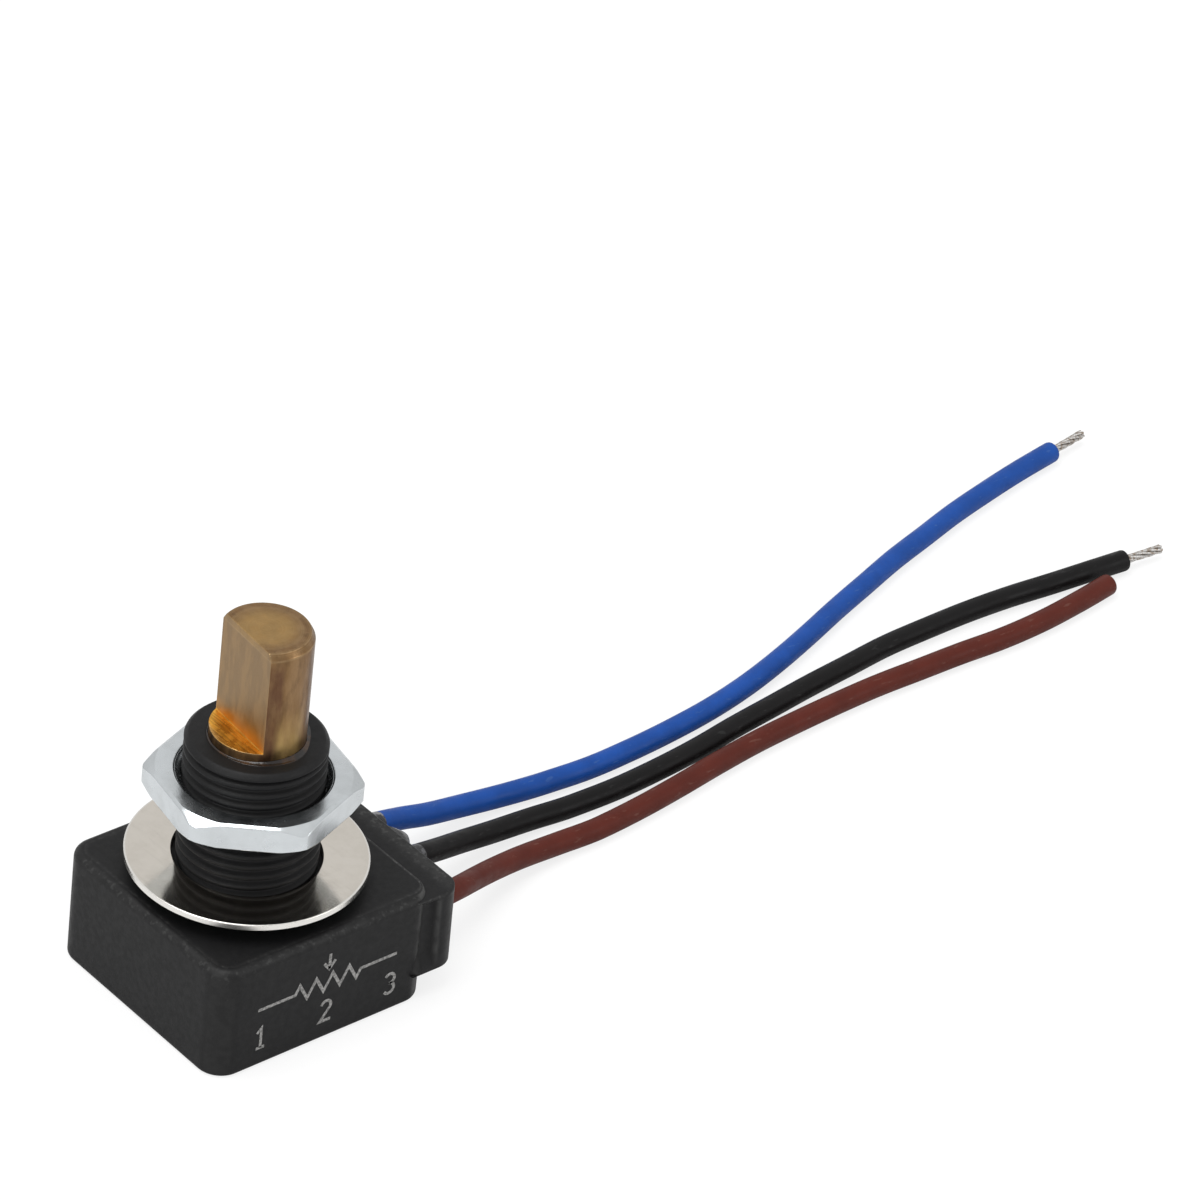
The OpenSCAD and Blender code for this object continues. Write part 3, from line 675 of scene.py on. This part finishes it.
def resinSeal(v, b):
    w, z0, z1 = b.halfWidth - b.pocketWall - 0.005, b.pocketZ[0] + 0.005, b.pocketZ[1] - 0.005
    y, z = np.meshgrid(np.linspace(-w, w, int(2 * w / v.step) + 1),
                       np.linspace(z0, z1, int((z1 - z0) / v.step) + 1), indexing="ij")
    fromWall = np.minimum(np.minimum(w - np.abs(y), z - z0), z1 - z)
    x, pale = v.front + v.wallCreep * np.exp(-fromWall / 0.28), np.zeros(y.shape)
    for place, creep, paleness in v.leads:
        away = np.hypot(y - place, z - leads.height) - leadRadius
        x += creep * v.leadCreep * np.exp(-(np.maximum(away, 0) / v.leadReach) ** 1.15)
        pale = np.maximum(pale, paleness * (1 - smooth(0.0, 0.35, away)))
    x += v.swell * (np.sin(y * 1.3 + 0.6) * 0.3 + np.sin(y * 0.55 + 2) * 0.5)
    x += v.run.height * np.exp(-((y - v.run.y) / v.run.wide) ** 2 - ((z - v.run.z) / v.run.tall) ** 2)
    x = np.minimum(x, b.x1 + v.proud)
    behind = np.full_like(x, sealLo[0] + 0.02)
    verts = np.concatenate([np.stack([depth, y, z], -1).reshape(-1, 3) for depth in (x, behind)])
    (ny, nz), n = x.shape, x.size
    faces = []
    for a in (i * nz + j for i in range(ny - 1) for j in range(nz - 1)):
        faces += [(a, a + nz, a + nz + 1, a + 1), (n + a, n + a + 1, n + a + nz + 1, n + a + nz)]
    rim = [i * nz for i in range(ny)] + [(ny - 1) * nz + j for j in range(1, nz)]
    rim += [i * nz + nz - 1 for i in range(ny - 2, -1, -1)] + list(range(nz - 2, 0, -1))
    faces += [(a, c, c + n, a + n) for a, c in zip(rim, rim[1:] + rim[:1])]
    return meshObject("resinSeal", verts, faces, sharp=60, pale=np.append(pale, np.zeros(n)))


blackResin = newMaterial("blackResin", (0.012, 0.012, 0.013), 0.22)
surface(Base_Color=mix(layer("pale") * blotches(0.7, 3, 0.48, 0.62),
                       mix(noise(1.5, 3), (0.009, 0.009, 0.010), (0.018, 0.018, 0.019)), (0.42, 0.42, 0.45)),
        Roughness=blotches(0.5, 4, 0.3, 0.7, 0.14, 0.38), Normal=bumped(noise(0.8, 3), 0.5, 0.06))
finish(resinSeal(resin, block), "case", "resin", blackResin, "lead_seal")


def resinCollar(name, reach, pale):
    # resin that has crept along a lead, thinner and paler towards its end
    path, turn = leadPaths[name], allRound(40)
    run = path[:, 0] - (block.x1 - 0.5)
    ragged = 1 + 0.10 * np.sin(2 * turn + 1) + 0.06 * np.sin(5 * turn + 2)
    steps = [k for k in range(len(path)) if 0 <= run[k] <= reach]
    rows = [(k, leadRadius + 0.006 + resin.collar * (1 - run[k] / reach) ** 1.5 * ragged, 0) for k in steps]
    tone = [pale * smooth(0.45, 0.8, run[k] / reach + 0.12 * np.sin(3 * turn)) for k in steps]
    tone += [pale * 0.5] * 2
    rows += [(steps[-1], leadRadius + 0.004, 0.05), (steps[-1], leadRadius - 0.03, 0.06)]
    finish(loft("resinCollar" + name.capitalize(), ringsAlong(path, turn, rows), sharp=60, pale=tone),
           "case", "resin", blackResin)


for name, (reach, pale) in resin.collars.items():
    resinCollar(name, reach, pale)
print("lead block and resin")

# rear cover, pressed into the body's step
cover = Sizes(corner=1.3, edge=0.1, panelInset=1.3, panelDepth=0.14, panelCorner=0.7,
              gateRadius=0.9, gateDepth=0.2, pinRadius=0.75, pinDepth=0.07,
              pins=((-5.2, 5.2), (-5.2, -5.2), (6.0, 5.2), (6.0, -5.2)))


def rearCover(v):
    a = outlineAngles(Sizes(body, corner=v.corner))
    x0, x1, w, top = coverLo[0], coverHi[0], coverHi[1], coverHi[2]

    def plate(inset, r, z):
        return outline(a, x0 + inset, x1 - inset, w - inset, r, z)

    def dip(depth, radius, soft, x, y):
        return depth * (1 - smooth(radius - soft, radius, np.hypot(x, y)))

    # rings from the middle of the underside outwards, sunk afterwards, and then up the edge
    rings = [ringAt(a, r, 0.0) for r in (0.3, 0.6, 0.78, 0.86, 0.94, 1.1)]
    rings += [outline(a, x0 * k, x1 * k, w * k, 0.8 * k, 0.0) for k in np.linspace(0.14, 0.82, 44)]
    rings += [plate(v.panelInset + step, v.panelCorner, 0.0) for step in (0.2, 0.06, -0.06, -0.2)]
    rings += [plate(inset, v.panelCorner, 0.0) for inset in (0.6, 0.25, v.edge + 0.03, v.edge)]
    corner = v.panelInset + v.panelCorner
    for ring in rings:
        x, y = ring[:, 0], ring[:, 1]
        pastX, pastY = np.abs(x - (x0 + x1) / 2) - (x1 - x0) / 2 + corner, np.abs(y) - w + corner
        past = np.hypot(np.maximum(pastX, 0), np.maximum(pastY, 0)) + np.minimum(np.maximum(pastX, pastY), 0)
        ring[:, 2] = (0.01 + v.panelDepth * smooth(v.panelInset - 0.06, v.panelInset + 0.06, corner - past)
                      + dip(v.gateDepth, v.gateRadius, 0.12, x, y)
                      + sum(dip(v.pinDepth, v.pinRadius, 0.16, x - px, y - py) for px, py in v.pins))
    rings += [plate(0, 0.8, v.edge), plate(0, 0.8, top - v.edge), plate(v.edge, 0.7, top)]
    return loft("rearCover", rings, wear=[0.0] * (len(rings) - 4) + [0.4, 0.2, 0.0, 0.0])


coverBlack = moulding("coverMoulding", (0.014, 0.0135, 0.0125), (0.05, 0.048, 0.045))
finish(rearCover(cover), "case", "cover", coverBlack, "rear_cover")
print("rear cover")

# threads, grown by one tree for the bushing and for the nut
thread = Sizes(pitch=0.794, crest=4.71, depth=0.36, bottom=washerLo[2] + 0.02,
               top=body.mouth - body.collarHeight + 0.02, inner=4.1, runOut=0.16, endRadius=4.55, phase=0.523,
               around=150, rows=190)


def threadTree():
    g = openTree("screwThread", Int=["Around", "Rows"],
                 Float=["Pitch", "Crest radius", "Depth", "Bottom", "Top", "Closing radius", "Run out",
                        "End radius", "Phase"], Material=["Surface"])
    grid = node("GeometryNodeMeshGrid", {"Size X": 1.0, "Size Y": 1.0, "Vertices X": g["Around"],
                                         "Vertices Y": g["Rows"]})
    at = node("ShaderNodeSeparateXYZ", {0: node("GeometryNodeInputPosition")})
    u, lastRow = at["X"] + 0.5, g["Rows"] - 1.0
    row = (at["Y"] + 0.5) * lastRow
    # the first and the last two rows run down the hidden side, so that the sleeve is closed
    isLast = calc("GREATER_THAN", row, lastRow - 0.5)
    hidden = calc("MAXIMUM", calc("LESS_THAN", row, 0.5), calc("GREATER_THAN", row, lastRow - 1.5))
    share = node("ShaderNodeClamp", {0: (row - 1.0) / (lastRow - 3.0)}) * (1.0 - isLast)
    tall = g["Top"] - g["Bottom"]
    z = g["Bottom"] + share * tall
    turns = calc("FRACT", z / g["Pitch"] - u + g["Phase"])
    ridge = spread(calc("ABSOLUTE", turns * 2.0 - 1.0), 0.05, 0.88)
    cut = g["Crest radius"] - g["Depth"] * (1.0 - ridge)
    full = spread(calc("MINIMUM", share, 1.0 - share) * tall, 0.0, g["Run out"])
    radius = between(hidden, between(full, g["End radius"], cut), g["Closing radius"])
    angle = u * (2 * math.pi)
    x, y = radius * calc("COSINE", angle), radius * calc("SINE", angle)
    spot = node("ShaderNodeCombineXYZ", {"X": x, "Y": y, "Z": z})
    moved = node("GeometryNodeSetPosition", {"Geometry": grid, "Position": spot})
    return closeTree(node("GeometryNodeMergeByDistance", {"Geometry": moved, "Distance": 1e-6}), g["Surface"])


def threaded(name, v, material, body, slot, stoodFor):
    made = grown(name, screwThread, 70, {
        "Around": v.around + 1, "Rows": v.rows, "Pitch": v.pitch * mm, "Crest radius": v.crest * mm,
        "Depth": v.depth * mm, "Bottom": v.bottom * mm, "Top": v.top * mm, "Closing radius": v.inner * mm,
        "Run out": v.runOut * mm, "End radius": v.endRadius * mm, "Phase": v.phase, "Surface": material})
    finish(made, body, slot, material, stoodFor)


screwThread = threadTree()
threaded("bushingThread", thread, charcoal, "case", "moulding", "housing")
print("bushing threaded")

# hexagon nut
nut = Sizes(flats=12.7, turn=-10.5, faceRadius=6.42, chamfer=30, cornerRadius=7.19, bore=5.12, sink=0.46,
            crest=4.775, soften=0.035)


def hexAngles(turn):
    # a side's directions are closer together at its ends
    ends = np.array([29.4, 29.75])
    offsets = np.unique(np.round(np.concatenate([np.linspace(-30, 30, 33), -ends, ends]), 3))[:-1]
    return np.sort(np.radians(np.concatenate([turn + 60 * k + offsets for k in range(6)])) % (2 * math.pi))


def nutBody(v):
    a = hexAngles(v.turn)
    offset = (np.degrees(a) - v.turn + 30) % 60 - 30
    side = np.minimum(v.flats / 2 / np.cos(np.radians(offset)), v.cornerRadius)
    slope, s, wide = math.tan(math.radians(v.chamfer)), v.soften, v.crest + v.sink
    face = np.minimum(v.faceRadius, side - 0.24)
    drop = (side - face) * slope
    # radius, depth below the face and wear, from the bore out to the side
    rows = [(v.bore, v.sink - 0.3, 0), (v.bore + 0.02, 0.13, 0), (wide - 0.02, 0.025, 0.2),
            (wide + 0.03, 0, 0.3), (wide + 0.1, 0, 0), (face - 0.08, 0, 0), (face, 0, 0.2),
            (face + 0.06, 0.06 * slope, 0.2), ((side + face) / 2, drop / 2, 0),
            (side - 3 * s, drop - 3 * s * slope, 0.2),
            (side - 1.2 * s, drop - 0.9 * s * slope, 1), (side - 0.3 * s, drop + 0.4 * s, 1),
            (side, drop + 1.4 * s, 0.8), (side, drop + 3 * s, 0)]
    z0, z1 = nutLo[2], nutHi[2]
    levels = [(r, z0 + deep, w) for r, deep, w in rows] + [(side, (z0 + z1) / 2, 0)]
    levels += [(r, z1 - deep, w) for r, deep, w in reversed(rows)]
    return loft("nutBody", [ringAt(a, r, z) for r, z, w in levels], loop=True, sharp=13,
                wear=[w for r, z, w in levels])


def plated(name, base, stained):
    made = newMaterial(name, base, 0.3, 1.0)
    tone = mix(blotches(2.0, 3, 0.35, 0.75), base, stained)
    first = bumped(circles(fromAxis(), 0.09), 0.22, 0.010)  # marks of turning
    drawn = bumped(noise(0.12, 3, stretch=(1, 1, 0.12)), 0.18, 0.010, first)
    surface(Base_Color=mix(blotches(0.2, 3, 0.66, 0.76, 0, 0.35), tone, scaled(stained, 0.7)),
            Roughness=blotches(1.2, 3, 0.3, 0.7, 0.21, 0.28) - layer("wear") * 0.12,
            Normal=bumped(noise(1.4, 2), 0.35, 0.03, drawn))
    return made


zinc = plated("zincPlating", (0.70, 0.735, 0.755), (0.62, 0.65, 0.665))
finish(nutBody(nut), "nut", "plated_nut", zinc, "mounting_nut")
nutThread = Sizes(thread, crest=4.745, depth=-0.33, phase=0.217, bottom=nutLo[2] + 0.12, top=nutHi[2] - 0.12,
                  inner=5.16, runOut=0.36, endRadius=nut.bore + 0.015, rows=46)
threaded("nutThread", nutThread, zinc, "nut", "plated_nut", "mounting_nut")
print("nut")

# flat washer
washer = Sizes(hole=washerHi[0] - 3.1, roll=0.07, under=0.1, thin=0.09, around=220)


def flatWasher(v):
    z0, z1, r = washerLo[2], washerHi[2] - v.thin, washerHi[0]
    hole, roll, small = v.hole, v.roll, v.under
    profile = [(hole, z0 + small), (hole + small, z0), (hole + 0.2, z0), (r - 0.2, z0), (r - small, z0),
               (r, z0 + small), (r, z1 - roll - 0.03), *arc(r - roll, z1 - roll, roll, 0, 90, 6),
               (r - roll - 0.08, z1), (r - 1.2, z1 - 0.008), (6.4, z1 - 0.012), (hole + 0.5, z1 - 0.008),
               (hole + roll + 0.06, z1), *arc(hole + roll, z1 - roll, roll, 90, 180, 5),
               (hole, z1 - roll - 0.03)]
    a = allRound(v.around)
    wear = [float(x > r - roll - 0.04 and z > z0 + small - 0.01) for x, z in profile]
    return loft("flatWasher", [ringAt(a, x, z) for x, z in profile], loop=True, sharp=40, wear=wear)


def washerSteel(base, dull, across=35):
    made = newMaterial("washerSteel", base, 0.24, 1.0)
    streaks = blotches(0.3, 4, 0.55, 0.8, 0, 0.35, stretch=(1, 0.12, 1), turn=across)
    tone = mix(streaks, mix(blotches(1.8, 5, 0.35, 0.7), base, dull), scaled(dull, 0.8))
    grain = noise(0.06, 2, stretch=(1, 0.05, 1), turn=across) * (1.0 - layer("wear"))
    surface(Base_Color=mix(layer("wear"), tone, (0.86, 0.84, 0.80)),
            Roughness=blotches(0.9, 4, 0.3, 0.7, 0.10, 0.14) + layer("wear") * 0.14,
            Normal=bumped(grain, 0.16, 0.004))
    return made


steel = washerSteel((0.735, 0.69, 0.625), (0.69, 0.645, 0.58))
finish(flatWasher(washer), "case", "washer_steel", steel, "flat_washer")
print("washer")

# shaft with its flat, grooves and driving end
shaft = Sizes(
    radius=3.175, flatAt=1.425, flatTurn=175, ledge=body.mouth + 0.7, top=shaftHi[2], tip=0.28, tipHeight=0.5,
    sealGroove=(16.25, 17.35, 2.355), clipGroove=(5.98, 6.52, 2.625), collar=5.5, stub=2.2, stubHalf=1.7,
    cutterTurn=52,
    stains=[
        Sizes(facing=245, span=(3.07, 3.15), heights=(26.0, 27.4), amount=0.75, tone=(0.10, 0.045, 0.030)),
        Sizes(facing=272, span=(2.85, 3.10), heights=(20.6, 23.5), amount=0.8, tone=(0.46, 0.31, 0.12)),
        Sizes(facing=325, span=(2.70, 3.12), heights=(29.0, 30.0), amount=0.6, tone=(0.14, 0.095, 0.065))])


def shaftMetal(v):
    edge = math.degrees(math.acos(v.flatAt / v.radius))
    steps = np.array([0.25, 0.6, 1.2, 2.4])
    nearEdge = np.concatenate([-steps, [0], steps]) + edge  # closer together at the flat's long edges
    offsets = np.unique(np.round(np.concatenate([np.arange(-180, 180, 3.0), -nearEdge, nearEdge]), 3))
    a, facing = np.radians(v.flatTurn + offsets), np.cos(np.radians(offsets))
    inFlat = facing > math.cos(math.radians(edge))
    rings, flat, ledge, tip, wear = [], [], [], [], []

    def ring(z, radius, cutAt=None, marks=(0, 0, 0), rubAndHighlight=0.0):
        radius = np.broadcast_to(radius, len(a))
        if cutAt is not None:
            cut = np.where(facing > 0.02, cutAt / np.maximum(facing, 0.02), 1e3)
            k = 0.035  # softens the two long edges
            h = np.clip(0.5 + 0.5 * (radius - cut) / k, 0, 1)
            radius = radius * (1 - h) + cut * h - k * h * (1 - h)
        rings.append(ringAt(a, radius, z))
        flat.append(inFlat * marks[0])
        ledge.append(inFlat * marks[1])
        tip.append(marks[2])
        wear.append(rubAndHighlight)

    # driving end, with two flats
    across = np.maximum(np.abs(facing), 0.05)
    for z, shrink in ((shaftLo[2], 0.1), (shaftLo[2] + 0.1, 0.0), (v.collar - 0.02, 0.0)):
        ring(z, np.minimum(v.stub - shrink, (v.stubHalf - shrink) / across))
    r, f, low = v.radius, v.flatAt, v.ledge
    ring(v.collar, r - 0.05)
    ring(v.collar + 0.05, r)
    for (z0, z1, deep), soft in ((v.clipGroove, 0.01), (v.sealGroove, 0.02)):
        for z, radius in ((z0, r), (z0 + soft, deep), (z1 - soft, deep), (z1, r)):
            ring(z, radius)
    ring(low - 0.4, r)
    ring(low - 0.1, r)
    # the ledge's edge and the end's chamfer edges get a painted rim highlight along with wear
    ring(low - 0.035, np.where(inFlat, r - 0.004, r), None, (0, 0.2, 0), 0.5 * inFlat)
    ring(low, np.where(inFlat, r - 0.04, r), None, (0, 1, 0), 0.5 * inFlat)
    for inward in (0.25, 0.6, 0.85):
        ring(low + 0.002 * inward, r, f + (r - 0.06 - f) * (1 - inward), (0, 1, 0))
    ring(low + 0.012, r, f + 0.035, (0, 1, 0))
    ring(low + 0.05, r, f + 0.006, (1, 0.6, 0))
    ring(low + 0.12, r, f, (1, 0.3, 0))
    low = v.top - v.tipHeight  # from here on, where the end's chamfer starts
    for z in (*np.linspace(v.ledge + 0.4, v.top - 0.7, 9), low - 0.12):
        ring(z, r, f, (1, 0, 0))
    ring(low - 0.03, r, f, (1, 0, 0), 0.1)
    ring(low + 0.03, r - 0.012, f, (1, 0, 0.3), 0.35)
    for part, ridge in ((0.22, 0.012), (0.32, -0.012), (0.46, 0.014), (0.56, -0.014), (0.72, 0.012),
                        (0.84, -0.01)):
        ring(low + v.tipHeight * part, r - v.tip * part + ridge, f, (1, 0, 0.6))
    end = r - v.tip
    ring(v.top - 0.03, end + 0.012, f - 0.005, (0.7, 0, 0.8), 0.3)
    ring(v.top - 0.006, end - 0.01, f - 0.025, (0, 0, 1), 0.35)
    for part in (1, 0.9, 0.6, 0.3):
        ring(v.top, (end - 0.05) * part, (f - 0.05) * part, (0, 0, 1))
    return loft("shaftMetal", rings, sharp=38, flat=flat, ledge=ledge, tip=tip, wear=wear)


def latheRings():
    # rings left by the tool on the end face and its chamfer
    return circles(fromAxis() - axes()["Z"], 0.11)


def brassFinish(v):
    dull, warm, fresh = (0.235, 0.135, 0.060), (0.30, 0.185, 0.092), (0.98, 0.49, 0.07)
    made, at = newMaterial("oxidisedBrass", dull, 0.4, 1.0), axes()
    tone = mix(blotches(0.9, 5, 0.35, 0.7, stretch=(1, 1, 0.3)), dull, warm)
    darker = blotches(0.55, 6, 0.46, 0.7, 0, 0.5, rough=0.65, stretch=(1, 1, 0.3))
    tone = mix(darker, tone, (0.13, 0.075, 0.038))
    patchy = blotches(1.1, 4, 0.35, 0.6, 0.45, 1.0, stretch=(1, 1, 0.4))
    for stain in v.stains:
        way, (z0, z1), (near, far) = math.radians(stain.facing), stain.heights, stain.span
        reach = at["X"] * math.cos(way) + at["Y"] * math.sin(way)
        amount = spread(reach, near * mm, far * mm, 0, stain.amount) * patchy
        tone = mix(amount * spread(at["Z"], z0 * mm, z1 * mm, 1, 0), tone, stain.tone)
    cloud = blotches(0.6, 4, 0.4, 0.66, stretch=(1, 1, 0.25))
    tone = mix(layer("flat"), tone, mix(cloud, (0.27, 0.178, 0.092), (0.35, 0.235, 0.125)))
    glow = layer("flat") * spread(at["Z"], (v.ledge + 0.1) * mm, (v.ledge + 1.5) * mm, 0.75, 0.0)
    tone = mix(glow, tone, (0.58, 0.30, 0.10))
    streaks = blotches(0.16, 3, 0.35, 0.65, stretch=(1, 0.07, 1), turn=v.cutterTurn)
    tone = mix(layer("ledge"), tone, mix(streaks, scaled(fresh, 0.62), fresh))
    tone = mix(spread(latheRings(), 0.42, 0.66, 0, 0.28) * layer("tip"), tone, (0.44, 0.31, 0.16))
    golden = layer("tip") * spread(fromAxis(), 1.3 * mm, 2.6 * mm, 0.75, 0.0)
    tone = mix(golden, tone, mix(noise(0.8, 4), (0.34, 0.21, 0.075), (0.52, 0.33, 0.13)))
    # lighter along the marked edges: worn brass plus a painted rim highlight
    tone = mix(layer("wear") * blotches(1.2, 2, 0.3, 0.6, 0.4, 1.0), tone, (0.56, 0.40, 0.22))
    cutter = noise(0.13, 2, stretch=(1, 0.05, 1), turn=v.cutterTurn) * layer("ledge")
    marks = bumped(noise(0.1, 3, stretch=(1, 1, 0.06)), 0.35, 0.01)
    marks = bumped(latheRings() * layer("tip"), 0.3, 0.012, bumped(cutter, 0.6, 0.03, marks))
    surface(Base_Color=tone, Normal=bumped(noise(1.4, 4), 0.45, 0.04, marks),
            Roughness=blotches(0.6, 5, 0.3, 0.7, 0.30, 0.52, stretch=(1, 1, 0.25)) - layer("ledge") * 0.1)
    return made


brass = brassFinish(shaft)
finish(shaftMetal(shaft), "spindle", "shaft_brass", brass, "shaft")
print("shaft")

# grease squeezed up round the shaft at the bushing's mouth
grease = Sizes(inner=3.207, thin=3.26, outer=3.58, facing=-60, rise=0.12, around=160)


def greaseRing(v):
    a, z = allRound(v.around), body.mouth
    towards = 0.5 + 0.5 * np.cos(a - math.radians(v.facing))
    wide = v.thin + towards * (v.outer - v.thin + 0.10 * np.sin(a * 3 + 1) + 0.07 * np.sin(a * 5 + 2))
    tall = v.rise * (0.3 + 0.7 * towards) * (1 + 0.35 * np.sin(a * 3 + 0.5))
    rings = [ringAt(a, v.inner, z - 0.12)]
    for part in (0.0, 0.12, 0.3, 0.55, 0.8, 1.0):
        level = z + tall * (1 - part) ** 2 + 0.004 * (1 - part)
        rings.append(ringAt(a, v.inner + (wide - v.inner) * part, level))
    rings.append(ringAt(a, wide + 0.01, z - 0.02))
    return loft("greaseRing", rings, loop=True, sharp=60)


amber = newMaterial("amberGrease", (0.020, 0.010, 0.005), 0.14)
surface(Base_Color=mix(blotches(1.6, 2, 0.42, 0.7), (0.008, 0.005, 0.004), (0.060, 0.026, 0.008)),
        Normal=bumped(noise(0.3, 3), 0.5, 0.03))
finish(greaseRing(grease), "case", "moulding", amber)
print("grease")


# surfaces of the pieces inside, which the frame brings in ready-shaped
def plainFinish(name, base, rough, metal, blotch, grain):
    made = newMaterial(name, base, rough, metal)
    surface(Base_Color=mix(blotches(blotch, 4, 0.3, 0.7), base, scaled(base, 0.75)),
            Roughness=blotches(blotch, 3, 0.3, 0.7, rough - 0.08, rough + 0.1),
            Normal=bumped(noise(grain, 3), 0.35, 0.015))
    return made


def boardFinish():
    made = newMaterial("phenolicBoard", (0.28, 0.14, 0.055), 0.45)
    weave = node("ShaderNodeTexWave", {"Vector": coords(turn=45), "Scale": 1 / (0.5 * mm), "Distortion": 1.5,
                                       "Detail": 2.0})["Fac"]
    tone = mix(noise(2.5, 3), (0.30, 0.15, 0.06), (0.22, 0.10, 0.04))
    surface(Base_Color=mix(weave * 0.4, tone, (0.36, 0.20, 0.09)), Normal=bumped(noise(0.2, 3), 0.3, 0.01))
    return made


inside = dict(
    shaft_o_ring=plainFinish("sealRubber", (0.015, 0.015, 0.015), 0.55, 0.0, 0.6, 0.06),
    thrust_washer=plainFinish("thrustSteel", (0.62, 0.61, 0.60), 0.3, 1.0, 0.9, 0.08),
    retaining_clip=plainFinish("springSteel", (0.30, 0.29, 0.28), 0.34, 1.0, 0.8, 0.08),
    rotor=plainFinish("rotorNylon", (0.66, 0.60, 0.48), 0.45, 0.0, 1.8, 0.12),
    wiper=plainFinish("wiperBronze", (0.70, 0.45, 0.24), 0.28, 1.0, 0.7, 0.06),
    element_board=boardFinish(),
    resistive_track=plainFinish("carbonFilm", (0.020, 0.020, 0.022), 0.5, 0.0, 0.4, 0.04),
    collector_track=plainFinish("silverFilm", (0.66, 0.65, 0.62), 0.42, 1.0, 0.5, 0.04))
tin = plainFinish("tinnedStrip", (0.68, 0.68, 0.67), 0.33, 1.0, 0.7, 0.07)
inside.update(terminal_1=tin, terminal_2=tin, terminal_3=tin)
for name, material in inside.items():
    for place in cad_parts[name].material_slots:
        place.material = material
print("inner pieces finished")

# surroundings: pale floor, soft lamps and an even sky, as in a light tent
studio = Sizes(
    floorSize=3.0, floorDepth=2e-5, floorTone=0.66, floorGlow=0.78, mirrored=0.2, sky=0.80, horizon=0.62,
    lit=(0, 0, 0.01), lamps=[
        Sizes(name="softTop", at=(-0.22, 0.05, 0.75), size=0.57, power=3.2),
        Sizes(name="softLeft", at=(-0.70, -0.15, 0.30), size=0.45, power=1.6),
        Sizes(name="softRight", at=(0.45, -0.65, 0.40), size=0.40, power=0.9)])


def emptied(block):
    block.use_nodes = True
    opened["tree"] = block.node_tree
    block.node_tree.nodes.clear()


def paleFloor(v):
    s, z = v.floorSize, -v.floorDepth
    data = bpy.data.meshes.new("floor")
    data.from_pydata([(-s, -s, z), (s, -s, z), (s, s, z), (-s, s, z)], [], [(0, 1, 2, 3)])
    data.materials.append(bpy.data.materials.new("floorPaper"))
    emptied(data.materials[0])
    paper = node("ShaderNodeBsdfDiffuse", {"Color": (v.floorTone,) * 3 + (1,)})
    shade = node("ShaderNodeBsdfDiffuse", {"Color": (1 - v.floorGlow,) * 3 + (1,)})
    glow = node("ShaderNodeEmission", {"Color": (1, 1, 1, 1), "Strength": v.floorGlow})
    seen = node("ShaderNodeAddShader", {0: shade, 1: glow})
    path = node("ShaderNodeLightPath")
    direct = calc("MAXIMUM", path["Is Camera Ray"], path["Is Glossy Ray"] * v.mirrored)
    node("ShaderNodeOutputMaterial", {"Surface": node("ShaderNodeMixShader", {0: direct, 1: paper, 2: seen})})
    placed("floor", data)


def evenSky(v):
    scene.world = bpy.data.worlds.new("evenSky")
    emptied(scene.world)
    up = node("ShaderNodeSeparateXYZ", {0: node("ShaderNodeTexCoord")["Generated"]})["Z"]
    tone, seen = spread(up, 0.0, 0.8, v.horizon, v.sky), node("ShaderNodeLightPath")["Is Camera Ray"]
    light = node("ShaderNodeBackground", {"Color": (1, 1, 1, 1), "Strength": between(seen, tone, 1.0)})
    node("ShaderNodeOutputWorld", {"Surface": light})


def softLamp(v, lit):
    data = bpy.data.lights.new(v.name, "AREA")
    data.shape, data.size, data.energy = "DISK", v.size, v.power
    lamp = placed(v.name, data)
    lamp.location = v.at
    lamp.rotation_euler = (Vector(lit) - Vector(v.at)).to_track_quat("-Z", "Y").to_euler()
    lamp.visible_camera = False


paleFloor(studio)
evenSky(studio)
for lamp in studio.lamps:
    softLamp(lamp, studio.lit)
scene.view_settings.view_transform = "Standard"
print("studio ready")
